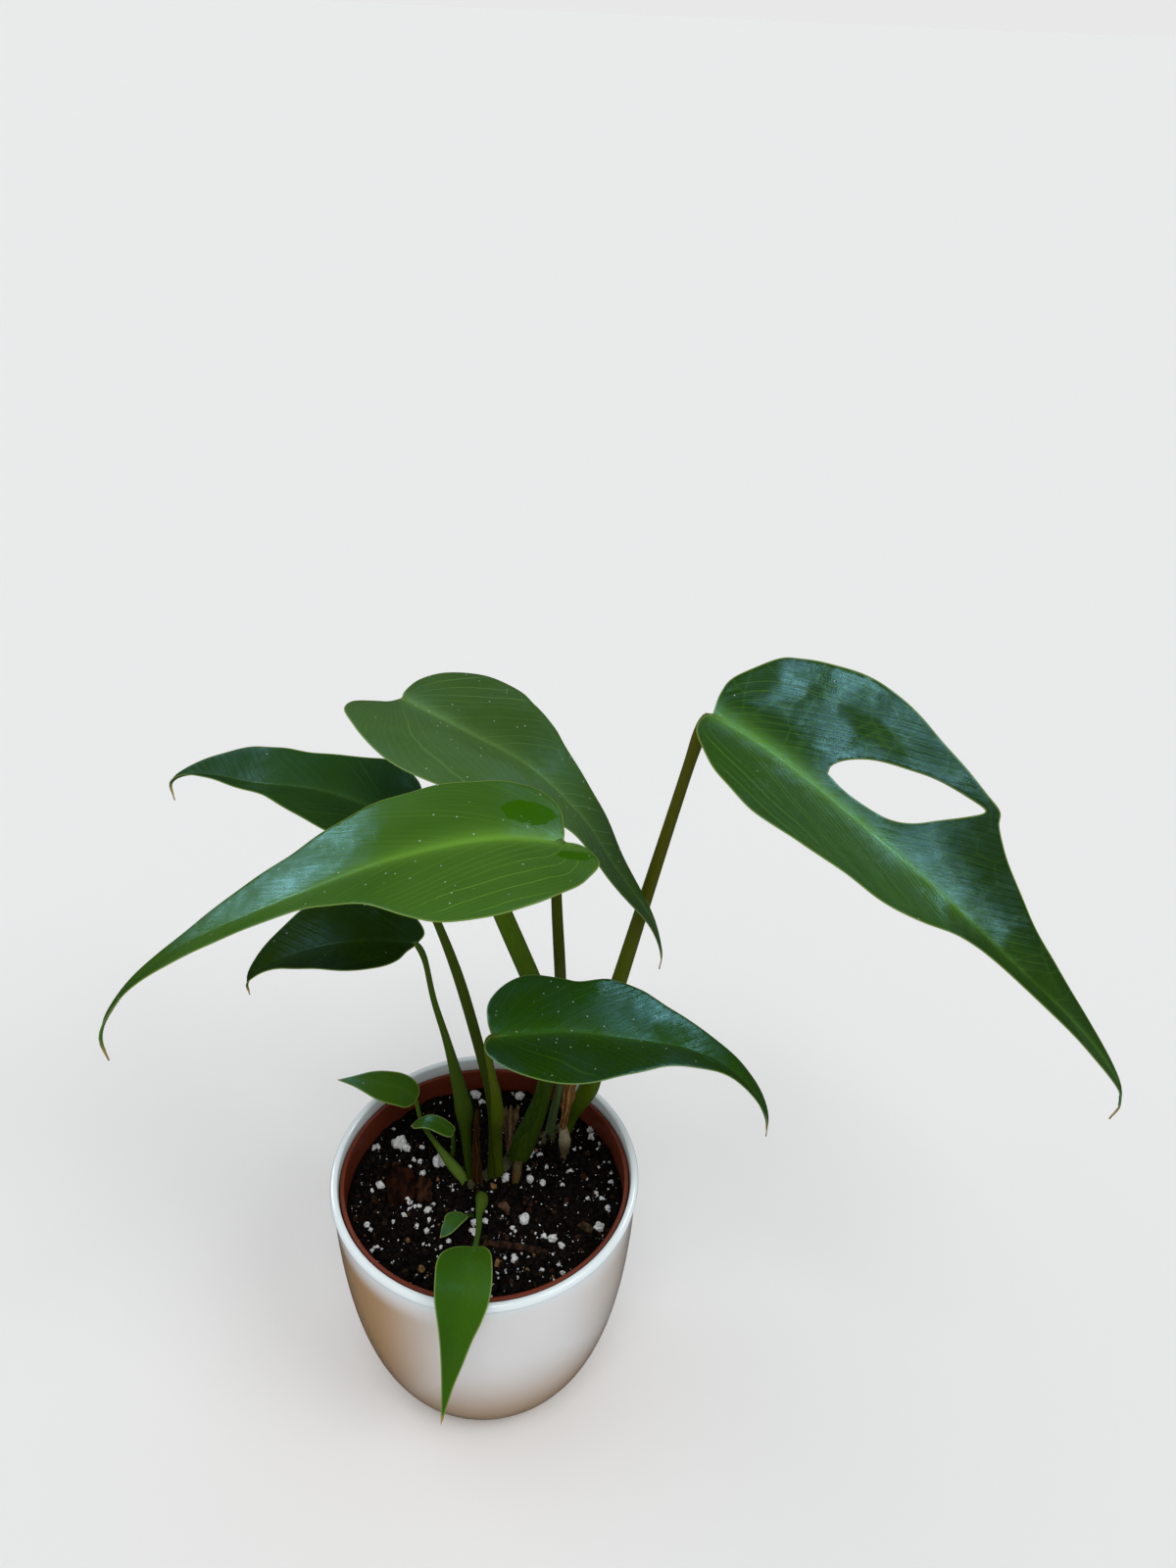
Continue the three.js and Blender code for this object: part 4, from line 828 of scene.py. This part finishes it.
# Leaf colours. left, right: the halves. gap: distance of the side veins. veins: their strength on the
# left and right half. gloss: roughness of the wax. level: its shine. core, fade: strength of the pale
# midrib and what is left of it outwards. far: darkening towards the tip. net: strength of fine mesh
# veins. quilt, grain: large and small relief. run: backward bend of the veins. wet: place and size of
# stains. dull: place, size and darkness of patches without shine; the darkness is painted shade.
GREENS = {
    # Leaf a: the left half's darker green is painted shade of the half that turns away from the light
    "a": dict(left=(0.018, 0.055, 0.006), right=(0.034, 0.092, 0.014), rib=(0.1, 0.25, 0.03), gap=5.5,
              veins=(0.3, 0.9), gloss=0.22, level=0.95, core=0.95, fade=0.35, far=0.4, dust=0.1,
              net=0.12, quilt=1.3, run=0.45,
              dull=(((48, 29), (13, 4), 0.1), ((20, 7), (24, 7), 0), ((4, 21), (9, 13), 0),
                    ((118, 29), (34, 19), 0.6), ((165, 8), (34, 9), 0.3), ((144, -8), (32, 10), 0.6),
                    ((60, -26), (72, 25), 0))),
    "b": dict(left=(0.05, 0.115, 0.02), right=(0.066, 0.142, 0.036), rib=(0.12, 0.24, 0.06), gap=6.5,
              veins=(0.45, 0.3), gloss=0.36, level=0.28, core=0.55, fade=0.4, far=0.8, dust=1.3,
              dull=(((50, 8), (22, 20), 0.25),)),
    "c": dict(left=(0.054, 0.14, 0.017), right=(0.05, 0.13, 0.016), rib=(0.12, 0.27, 0.03), gap=7,
              veins=(0.6, 0.4), gloss=0.26, level=0.18, core=0.9, fade=0.05, far=0.4, dust=1.3,
              run=0.3, grain=0.05,
              dull=(((110, 16), (70, 14), 0.1), ((45, 5), (28, 40), 0), ((175, 0), (28, 8), 0.25)),
              wet=(((10, -13), (11, 6)), ((0, 10), (8, 3)))),
    "d": dict(left=(0.02, 0.064, 0.009), right=(0.02, 0.066, 0.01), rib=(0.05, 0.12, 0.025), gap=6,
              veins=(0.35, 0.35), gloss=0.33, level=0.07, core=0.4, far=0.4, dust=0.2),
    "e": dict(left=(0.014, 0.038, 0.002), right=(0.014, 0.037, 0.002), rib=(0.03, 0.075, 0.008), gap=5.5,
              veins=(0.35, 0.35), gloss=0.26, level=0.07, core=0.3, far=0.2, dust=0.3),
    "f": dict(left=(0.022, 0.078, 0.003), right=(0.016, 0.054, 0.001), rib=(0.045, 0.13, 0.01), gap=6,
              veins=(0.32, 0.32), gloss=0.24, level=0.55, core=0.6, fade=0.3, far=0.3, dust=1.8,
              dull=(((72, 5), (9, 6), 0),)),
    "g": dict(left=(0.04, 0.1, 0.001), right=(0.036, 0.095, 0.001), rib=(0.07, 0.16, 0.006), gap=4,
              veins=(0.2, 0.2), gloss=0.3, level=0.07, core=0.2, far=0.1, dust=0.1),
    "h": dict(left=(0.035, 0.095, 0.003), right=(0.035, 0.095, 0.003), rib=(0.06, 0.14, 0.012), gap=3,
              veins=(0.3, 0.3), gloss=0.33, level=0.2, core=0.4, far=0.1, dust=0.1),
    "i": dict(left=(0.044, 0.12, 0.004), right=(0.034, 0.1, 0.003), rib=(0.03, 0.1, 0.003), gap=5,
              veins=(0.3, 0.3), gloss=0.38, level=0.12, core=0.5, far=0.2, dust=0.4),
    "j": dict(left=(0.036, 0.1, 0.006), right=(0.036, 0.1, 0.006), rib=(0.05, 0.13, 0.015), gap=3,
              veins=(0.15, 0.15), gloss=0.35, level=0.15, core=0.1, far=0.1, dust=0.1),
}
# Petiole colours: low and high end, and the pale lines
SHOOTS = {
    "a": ((0.06, 0.115, 0.001), (0.082, 0.085, 0.002), (0.11, 0.12, 0.006)),
    "b": ((0.02, 0.045, 0.001), (0.085, 0.165, 0.001), (0.12, 0.17, 0.008)),
    # Petiole c: the brighter low-end green is painted light that lifts the shade falling there
    "c": ((0.09, 0.15, 0.05), (0.048, 0.062, 0.002), (0.08, 0.095, 0.006)),
    "d": ((0.03, 0.046, 0.001), (0.06, 0.095, 0.004), (0.08, 0.105, 0.006)),
    "e": ((0.024, 0.052, 0.001), (0.05, 0.09, 0.004), (0.08, 0.11, 0.008)),
    "f": ((0.035, 0.055, 0.001), (0.07, 0.1, 0.002), (0.11, 0.14, 0.006)),
    "g": ((0.1, 0.17, 0.02), (0.055, 0.12, 0.003), (0.15, 0.21, 0.035)),
    "h": ((0.045, 0.085, 0.003), (0.05, 0.105, 0.003), (0.09, 0.14, 0.012)),
    "i": ((0.07, 0.13, 0.008), (0.04, 0.09, 0.004), (0.12, 0.17, 0.03)),
    "j": ((0.03, 0.06, 0.003), (0.04, 0.085, 0.004), (0.07, 0.11, 0.012)),
}
ROOT_COLOURS = {
    "right": ((0.34, 0.29, 0.18), (0.075, 0.055, 0.025), (0.1, 0.06, 0.012)),
    "middle": ((0.09, 0.07, 0.025), (0.08, 0.045, 0.012), (0.06, 0.035, 0.01)),
}
PAPERS = {
    "right": ((0.12, 0.035, 0.003), (0.42, 0.23, 0.08)),
    "middle": ((0.035, 0.014, 0.005), (0.17, 0.115, 0.055)),
    "left": ((0.016, 0.006, 0.001), (0.07, 0.03, 0.005)),
}


# Pieces

def make_leaves():
    for name in LEAVES:
        Blade(name).build(leaf_look("leaf_" + name, **GREENS[name]))


def petiole_path(name):
    """The petiole's path, run on a little under the midrib of its blade."""
    blade = Blade(name)
    *path, before, end = PETIOLES[name]
    radius = end[3]
    _, _, up, _ = blade.spine.at(np.array([0.0]))
    for point, drop in ((before, 0.4), (end, 0.8)):
        path.append((*(np.array(point[:3]) - up[0] * radius * drop), point[3]))
    for distance, narrow, drop in ((3, 0.8, 0.85), (7, 0.5, 0.6)):
        reach = distance * min(1, blade.length / 120)
        point, _, up, _ = blade.spine.at(np.array([reach]))
        path.append((*(point[0] - up[0] * radius * drop), radius * narrow))
    return path


def make_petioles():
    for name, path in PETIOLES.items():
        swell = 0.18 if len(path) > 5 else 0.05

        def shape(part, angle, distance):
            knee = np.exp(-((part - 0.93) / 0.035) ** 2)
            ribs = 0.02 * np.sin(5 * angle + 3 * part) + 0.03 * np.sin(2 * angle - 9 * part)
            return 1 + swell * knee + ribs

        points, faces, values = tube(petiole_path(name), sides=20, step=1.6, shape=shape)
        look = shoot_look("petiole_" + name, *SHOOTS[name])
        piece("stalk_" + name, points, faces, look, "petiole_" + name, values)


def make_stem():
    def knots(part, angle, distance):
        return 1 + 0.07 * np.sin(distance * 0.9) + 0.06 * np.sin(3 * angle + distance * 0.4)

    points, faces, values = tube(STEM, sides=28, step=0.8, shape=knots)
    look = mottled_look("stem_skin", (0.016, 0.016, 0.006), (0.09, 0.085, 0.04),
                        scale=160, rough=0.6, bump=0.5)
    piece("creeping_stem", points, faces, look, "stem", values)


def make_roots():
    def lumps(part, angle, distance):
        return 1 + 0.04 * np.sin(distance * 1.1 + 2 * angle) + 0.03 * np.sin(distance * 2.3)

    for name, path in ROOTS.items():
        points, faces, values = tube(path, sides=22, step=0.4, shape=lumps)
        look = root_look(name, *ROOT_COLOURS[name])
        piece("aerial_root_" + name, points, faces, look, "root_" + name, values)


def make_sheaths():
    rows, columns, thickness = 54, 24, 0.22
    k, j = np.meshgrid(np.arange(rows + 1), np.arange(columns + 1), indexing="ij")
    part, u = k.ravel() / rows, 2 * j.ravel() / columns - 1
    grid = (np.arange(rows)[:, None] * (columns + 1) + np.arange(columns)).ravel()
    tris = np.vstack((np.stack((grid, grid + columns + 1, grid + columns + 2), 1),
                      np.stack((grid, grid + columns + 2, grid + 1), 1)))
    for name, shape in SHEATHS.items():
        spine = Spine(shape["spine"], steps=6)
        seed = 3.3 * len(name)
        point, tangent, up, side = spine.at(spine.length * part)
        torn = np.array([noise.noise(Vector((p * 7, round(v), seed))) for p, v in zip(part, u)])
        half = np.interp(part, (0, 1), shape["half"]) * (1 + 0.35 * torn * np.abs(u))
        crumple = np.array([noise.fractal(Vector((p * 5, v * 1.8, seed)), 0.8, 2, 3)
                            for p, v in zip(part, u)])
        pleats = 0.22 * np.sin(7 * u + 3 * np.sin(4 * part)) - 0.7 * np.abs(u) ** 3 * np.sin(5 * part + seed)
        ragged = np.array([noise.noise(Vector((v * 4, seed, 1.7))) for v in u]) * step_between(part, 0.55, 1)
        middle = (point + side * (u * half)[:, None] + tangent * (5 * ragged)[:, None]
                  + up * (shape["bow"] * (1 - u**2) + 0.8 * crumple + pleats)[:, None])
        points, faces = thick_sheet(middle, tris, thickness)
        look = paper_look(name, *PAPERS[name])
        piece("dry_sheath_" + name, points, outward_faces(points, faces), look,
              "sheath_" + name, dict(across=np.tile(u, 2)))


def make_chips():
    noise.seed_set(WOOD_SEED)
    for name, (centre, half, turn, wood, dark, light) in CHIPS.items():
        points, faces = split_block(half, cut=(14, 12, 4), seed=len(name))
        c, s = spin(turn)
        turned = points @ np.array(((c, s, 0), (-s, c, 0), (0, 0, 1)))
        piece(name + "_wood", turned + centre, outward_faces(points, faces), wood_look(wood, dark, light),
              name)


def split_block(half, cut, seed):
    """A slab with torn ends and uneven faces. cut: cells along each axis."""
    index, points, faces = {}, [], []

    def corner(i, j, k):
        if (i, j, k) not in index:
            x, y, z = (2 * i / cut[0] - 1, 2 * j / cut[1] - 1, 2 * k / cut[2] - 1)
            wide = 1 + 0.12 * math.sin(3.1 * x + 2.3 * y) - 0.08 * math.cos(4 * x - y)
            p = Vector((x * half[0] * (1 - 0.2 * y**4), y * wide * half[1] * (1 - 0.2 * x**4), z * half[2]))
            shake = noise.noise_vector(p * 0.55 + Vector((seed, 0, 0)))
            torn = noise.noise(Vector((y * half[1] * 1.3, z * half[2], seed))) * x**4
            p += shake * min(0.7, 0.13 * half[0])
            p.x += torn * min(1.2, half[0] * 0.3)
            index[i, j, k] = len(points)
            points.append(tuple(p))
        return index[i, j, k]

    for axis in range(3):
        u, v = [a for a in range(3) if a != axis]
        for end in (0, cut[axis]):
            for i in range(cut[u]):
                for j in range(cut[v]):
                    quad = []
                    for du, dv in ((0, 0), (1, 0), (1, 1), (0, 1)):
                        at = [0, 0, 0]
                        at[axis], at[u], at[v] = end, i + du, j + dv
                        quad.append(corner(*at))
                    turned = (axis == 1) != (end == 0)
                    faces.append(tuple(reversed(quad)) if turned else tuple(quad))
    return np.array(points), faces


def nursery_radius(z):
    if z >= NURSERY["collar_z"]:
        return NURSERY["collar"]
    shoulder = NURSERY["collar_z"] - NURSERY["step"]
    part = (z - NURSERY["heel_z"]) / (shoulder - NURSERY["heel_z"])
    return NURSERY["heel"] + (NURSERY["shoulder"] - NURSERY["heel"]) * part


def make_pot():
    steps = 36
    full = POT["fullness"]
    height, rim = POT["height"], POT["rim"]
    body = rim - POT["drop"]
    inner = body - POT["wall"] + 0.4
    under = height - POT["lip"]

    def wall(bottom, bottom_radius, top_radius):
        """Points up a rounded wall, from its bottom to just below the lip."""
        points = []
        for i in range(steps):
            z = bottom + (under - bottom) * math.sin(i / steps * math.pi / 2)
            depth = min(max((height - z) / (height - bottom), 0), 1)
            points.append((bottom_radius + (top_radius - bottom_radius) * (1 - depth**full) ** (1 / full), z))
        return points

    lip = smooth([(body, under), (rim - 0.15, under + 0.8), (rim, height - 1.9), (rim - 0.7, height - 0.5),
                  (rim - 1.9, height), (inner + 0.6, height - 0.4), (inner + 0.2, height - 1.6)], 5)
    inside = wall(POT["floor"], POT["base"] - 3, inner)[::-1]
    profile = [(0, 0)] + wall(0, POT["base"], body) + [tuple(p) for p in lip] + inside + [(0, POT["floor"])]
    points, faces = lathe(profile, segments=192)
    piece("glazed_pot", points, faces, glaze_look(), "outer_pot")


def make_nursery_pot():
    low, n = NURSERY_LOW, NURSERY
    top, rim, inner, collar, collar_z = n["top"], n["rim"], n["inner"], n["collar"], n["collar_z"]
    base, heel_z, wall = n["base"], n["heel_z"], n["wall"]
    lip = top - n["lip"]
    step = collar_z - n["step"]
    profile = [(0, low), (base - 1, low), (base, low + 0.2), (base + 4, low + 2.2), (n["heel"], heel_z)]
    profile += [(nursery_radius(z), z) for z in np.linspace(heel_z, step, 12)[1:]]
    profile += [(collar - 0.2, collar_z - 0.2), (collar, collar_z + 0.2)]
    profile += [(collar, z) for z in np.linspace(collar_z + 3, lip, 5)]
    profile += [(rim - 0.2, lip + 0.1), (rim, lip + 0.4), (rim, top - 0.5), (rim - 0.15, top - 0.15),
                (rim - 0.4, top), (inner + 0.4, top), (inner + 0.1, top - 0.15), (inner, top - 0.5)]
    profile += [(collar - wall, z) for z in np.linspace(lip - 1, collar_z + 0.6, 5)]
    profile += [(nursery_radius(z) - wall, z) for z in np.linspace(step + 0.5, heel_z + 0.6, 12)]
    profile += [(base + 3, low + 3), (base - 0.6, low + wall), (0, low + wall)]
    points, faces = lathe(profile, segments=160)
    raised = np.clip((points[:, 2] - collar_z) / (lip - collar_z), 0, 1)
    points[:, 2] -= n["slant"] * points[:, 1] * raised
    drill_drains(piece("nursery_shell", points, faces, nursery_look(), "nursery_pot"))


def drill_drains(pot):
    """Round drain holes through the nursery pot's base."""
    points, faces = [], []
    bottom, top = NURSERY_LOW - 4, NURSERY_LOW + 4
    drain = NURSERY["drain"]
    for angle in circle(NURSERY["drains"]):
        plug, plug_faces = lathe([(0, bottom), (drain, bottom), (drain, top), (0, top)], segments=24)
        faces += [tuple(v + len(points) for v in f) for f in plug_faces]
        at = (NURSERY["ring"] * math.cos(angle), NURSERY["ring"] * math.sin(angle), 0)
        points += (plug + at).tolist()
    plugs = link("drain_plugs", mesh_of("drain_plugs", points, faces))
    cut = pot.modifiers.new("drains", "BOOLEAN")
    cut.operation = "DIFFERENCE"
    cut.solver = "EXACT"
    cut.object = plugs
    bpy.context.view_layer.update()
    result = bpy.data.meshes.new_from_object(pot.evaluated_get(bpy.context.evaluated_depsgraph_get()))
    pot.modifiers.clear()
    old = pot.data
    pot.data = result
    result.name = "nursery_shell"
    bpy.data.meshes.remove(old)
    bpy.data.objects.remove(plugs)


def soil_height(x, y):
    bumps = np.sin(0.21 * x + 1.1) * np.cos(0.17 * y - 0.4) + 0.5 * np.sin(0.37 * x - 0.29 * y + 2)
    dish = SOIL["dish"] * (np.hypot(x, y) / NURSERY["collar"]) ** 4
    return SOIL["level"] + dish + SOIL["relief"] * bumps


def make_soil():
    rings, segments, sunk = 90, 260, 0.3
    level, heel_z, base = SOIL["level"], NURSERY["heel_z"], NURSERY["base"]
    gap = NURSERY["wall"] + GAP
    edge = nursery_radius(level) - NURSERY["wall"] - GAP
    radii = np.linspace(edge / rings, edge, rings)
    angle = circle(segments)
    x, y = np.outer(radii, np.cos(angle)).ravel(), np.outer(radii, np.sin(angle)).ravel()
    rough = [1.3 * noise.fractal(Vector((a, b, 3)) * 0.32, 0.9, 2.1, 5) for a, b in zip(x, y)]
    points = [np.stack((x, y, soil_height(x, y) + np.array(rough) - sunk), axis=1)]
    plug = ((edge, NURSERY["collar_z"] + 1.1), (NURSERY["shoulder"] - gap, NURSERY["collar_z"] - 0.3),
            (NURSERY["heel"] - gap, heel_z + 1.2), (base + 2, NURSERY_LOW + 3.3),
            (base - 2, NURSERY_LOW + gap))
    for radius, height in plug:
        points.append(np.stack((radius * np.cos(angle), radius * np.sin(angle), np.full(segments, height)),
                               axis=1))
    points = np.vstack(points + [[(0, 0, level), (0, 0, NURSERY_LOW + gap)]])
    faces = [(f[0], *f[:0:-1]) for f in ring_faces(rings + len(plug), segments)]
    piece("soil_surface", points, outward_faces(points, faces), soil_look(), "soil")


def ball(rounds):
    """Unit sphere of triangles."""
    form = bmesh.new()
    bmesh.ops.create_icosphere(form, subdivisions=rounds, radius=1)
    points = np.array([tuple(v.co) for v in form.verts])
    faces = np.array([[v.index for v in f.verts] for f in form.faces])
    form.free()
    return points, faces


def grains(name, places, look, form, uneven, seed):
    """Many uneven lumps in one mesh. places holds x, y, z and radius."""
    points, faces = form
    pick = random.Random(seed)
    all_points, all_faces = [], []
    for k, (x, y, z, radius) in enumerate(places):
        stretch = np.array([pick.uniform(0.75, 1.2) for _ in range(3)])
        angle = pick.uniform(0, 6.3)
        turn = Matrix.Rotation(angle, 3, Vector([pick.gauss(0, 1) for _ in range(3)]))
        seedling = Vector((k * 3.7, 1.3, seed))
        scale = np.array([1 + uneven * noise.noise(Vector(p) * 1.6 + seedling) for p in points])
        lump = points * scale[:, None] * stretch * radius
        all_points.append(lump @ np.array(turn).T + (x, y, z))
        all_faces.append(faces + k * len(points))
    return piece(name, np.vstack(all_points), np.vstack(all_faces), look, flat=True)


# Perlite grains and clusters that stand out: place on the soil and radius
PERLITE_MARKS = [
    (-43, 25, 3.3), (-40, 23, 2), (-32, 24, 1.6), (-53, 22, 1.8),
    (-32, 17, 1.4), (-24, 17, 2.7), (-21, 16, 1.8), (-30, 10, 1.6), (-24, 9, 0.9), (-48, 2, 2.1),
    (-56, 2, 0.9), (-51, -1, 0.9), (-34, -5, 2), (-33, -9, 1.3), (-35, -12, 1.3), (-31, -7, 0.9),
    (-29, -7, 1), (-25, -9, 1.5), (-23, -6, 0.9), (-43, -10, 0.9), (-46, -12, 0.9), (-50, -19, 1.3),
    (-48, -21, 0.9), (-29, -17, 1.3), (-24, -19, 1.1), (-32, -22, 0.9), (-44, -30, 1.3),
    (-46, -31, 0.8), (-42, -30, 0.8), (-19, -29, 1.1), (-17, -27, 1.1), (-14, -24, 1.3), (-36, -36, 1),
    (-25, -42, 0.8), (-39, -16, 0.9), (-4, -14, 1.5), (-4, -19, 1.9), (-2, -19, 1.1), (1, -13, 1.5),
    (-10, 56, 1.9), (-7, 52, 1.7), (-12, 57, 1.2), (-47, 34, 0.8), (-30, 50, 0.7), (-27, 51, 0.7),
    (-9, -4, 0.7), (-5, -8, 0.9), (8, 10, 2), (9, 11, 1.1), (4, 8, 0.9), (7, 57, 1.4), (11, 56, 2.4),
    (5, 54, 1), (17, 23, 2.3), (19, 24, 1.4), (23, 23, 1.6), (13, 23, 0.7), (26, 17, 1.1),
    (18, 15, 1.1), (19, 10, 1.6), (16, 5, 1.1), (25, 8, 1.3), (32, 13, 1.3), (37, 15, 1.4),
    (34, 7, 1.1), (35, 11, 0.9), (36, -4, 0.9), (47, 34, 1.9), (46, 38, 1.9), (50, 30, 1.2),
    (50, 27, 0.9), (37, 39, 1.2), (50, 16, 1.4), (45, 11, 0.9), (48, 9, 0.7), (55, 20, 0.7),
    (56, 14, 0.7), (56, 8, 1.3), (49, 3, 1.3), (52, 0, 1.3), (55, -5, 1.7), (51, -15, 1.9),
    (18, -12, 2.2), (8, -12, 0.8), (13, -16, 0.9), (15, -18, 1.1), (24, -18, 0.5), (27, -20, 1.5),
    (31, -21, 1.9), (5, -21, 0.6), (35, -24, 1.5), (40, -22, 0.6), (15, -31, 1.7), (21, -30, 0.8),
    (22, -32, 0.8), (18, -28, 0.6), (12, -37, 1), (17, -40, 0.8), (8, -39, 1.2), (6, -41, 0.8),
    (11, -31, 0.6), (36, -38, 1), (7, -50, 0.8), (7, -44, 0.6),
]
# Coloured bits of wood and husk: place on the soil and radius
TAN_MARKS = [(-23.6, -38.7, 1.7), (8.3, -34.3, 1.7), (21, -36.5, 1), (2.7, 4.1, 1.7),
             (-31.5, -24.9, 1.3), (20.9, 25.8, 1)]
RED_MARKS = [(-32, 43, 1.8), (14.7, -13.2, 1.1), (2.4, -25.1, 2)]


def on_wood(x, y):
    """Whether a place on the soil lies under one of the wood bits."""
    margin = 0.4
    for centre, half, turn, *_ in CHIPS.values():
        c, s = spin(turn)
        dx, dy = x - centre[0], y - centre[1]
        if abs(dx * c + dy * s) < half[0] + margin and abs(dy * c - dx * s) < half[1] + margin:
            return True
    return False


def make_grains():
    pick = random.Random(SOIL["seed"])
    edge = nursery_radius(SOIL["level"]) - 3

    def scattered(count, small, large, rarity, lift):
        """Random places. rarity: how few grains are near the large radius. lift: share of it above ground."""
        places = []
        for _ in range(count):
            r, a = edge * math.sqrt(pick.random()), pick.uniform(0, 2 * math.pi)
            x, y = r * math.cos(a), r * math.sin(a)
            if on_wood(x, y):
                continue
            radius = small + (large - small) * pick.random() ** rarity
            places.append((x, y, float(soil_height(x, y)) + lift * radius + pick.uniform(-0.4, 0.5), radius))
        return places

    def placed(marks, lift):
        return [(x, y, float(soil_height(x, y)) + lift * r, r) for x, y, r in marks]

    def speckled(name, dark, light, scale=600, bump=0.3):
        return mottled_look(name, dark, light, scale, 0.85, bump)

    crumb = speckled("soil_crumb", (0.0018, 0.0015, 0.0012), (0.01, 0.0065, 0.0045), 700)
    brown = speckled("soil_brown", (0.01, 0.005, 0.0025), (0.04, 0.019, 0.009))
    tan = speckled("soil_tan", (0.09, 0.045, 0.015), (0.27, 0.15, 0.06))
    white = speckled("perlite", (0.5, 0.5, 0.49), (0.8, 0.81, 0.82), 900, 0.35)
    form = ball(2)
    grains("soil_crumbs", scattered(2600, 0.5, 2.2, 2.2, 0.1), crumb, form, 0.6, 1)
    grains("soil_bark_crumbs", scattered(420, 0.4, 1.5, 2, 0.3) + placed(RED_MARKS, 0.5), brown, form, 0.6, 2)
    grains("soil_tan_crumbs", scattered(50, 0.35, 0.9, 2, 0.4) + placed(TAN_MARKS, 0.5), tan, form, 0.6, 3)
    grains("perlite_dust", scattered(900, 0.18, 0.5, 2, 0.8), white, ball(1), 0.5, 4)
    grains("perlite_grains", placed(PERLITE_MARKS, 0.4) + scattered(70, 0.5, 1.0, 2.4, 0.45), white,
           ball(3), 0.5, 5)


def make_stage():
    mesh = bpy.data.meshes.new("floor")
    h = FLOOR_HALF
    mesh.from_pydata([(-h, -h, 0), (h, -h, 0), (h, h, 0), (-h, h, 0)], [], [(0, 1, 2, 3)])
    look = Look("floor_paper", Specular_IOR_Level=0.0)
    shade = look.mix(look.noise(2, 1), (0.812, 0.81, 0.81), (0.82, 0.818, 0.818))
    mesh.materials.append(look.finish(shade, 0.9))
    floor = link("floor", mesh)
    floor.visible_glossy = False


def make_lights():
    for name, (azimuth, elevation, width, strength, colour, diffuse, glossy) in LIGHTS.items():
        lamp = bpy.data.lights.new(name, "SUN")
        lamp.angle = math.radians(width)
        lamp.energy = strength
        lamp.color = colour
        made = link(name, lamp)
        made.visible_diffuse = diffuse
        made.visible_glossy = glossy
        (ahead, right), (level, up) = spin(azimuth), spin(elevation)
        towards = Vector((right * level, ahead * level, up))
        made.rotation_euler = towards.to_track_quat("Z", "Y").to_euler()
        made.location = towards * 2


def make_room():
    world = bpy.data.worlds.new("studio")
    bpy.context.scene.world = world
    world.use_nodes = True
    tree = world.node_tree
    tree.nodes.clear()
    path = tree.nodes.new("ShaderNodeLightPath")
    seen = None
    for ray, strength in ((None, ROOM_LIGHT), ("Is Glossy Ray", ROOM_MIRRORED), ("Is Camera Ray", ROOM_SEEN)):
        shader = tree.nodes.new("ShaderNodeBackground")
        shader.inputs["Color"].default_value = (1, 1, 1, 1)
        shader.inputs["Strength"].default_value = strength
        shade = shader.outputs[0]
        if ray:
            pick = tree.nodes.new("ShaderNodeMixShader")
            for socket, source in zip(pick.inputs, (path.outputs[ray], seen, shade)):
                tree.links.new(source, socket)
            shade = pick.outputs[0]
        seen = shade
    tree.links.new(seen, tree.nodes.new("ShaderNodeOutputWorld").inputs[0])


def make_camera():
    lens = bpy.data.cameras.new("camera")
    lens.lens = CAMERA_LENS
    lens.sensor_width = CAMERA_FILM
    lens.sensor_fit = "AUTO"
    lens.clip_start, lens.clip_end = CAMERA_RANGE
    camera = link("camera", lens)
    tilt = Matrix.Rotation(math.radians(90 - CAMERA_DOWN), 4, "X")
    roll = Matrix.Rotation(math.radians(CAMERA_ROLL), 4, "Z")
    camera.matrix_world = Matrix.Translation(Vector(CAMERA_AT) * MM) @ tilt @ roll
    bpy.context.scene.camera = camera
    bpy.context.scene.view_settings.view_transform = "Standard"


make_camera()
make_lights()
make_room()
make_stage()
make_pot()
make_nursery_pot()
make_soil()
make_grains()
make_chips()
make_stem()
make_roots()
make_sheaths()
make_petioles()
make_leaves()

bpy.context.view_layer.update()
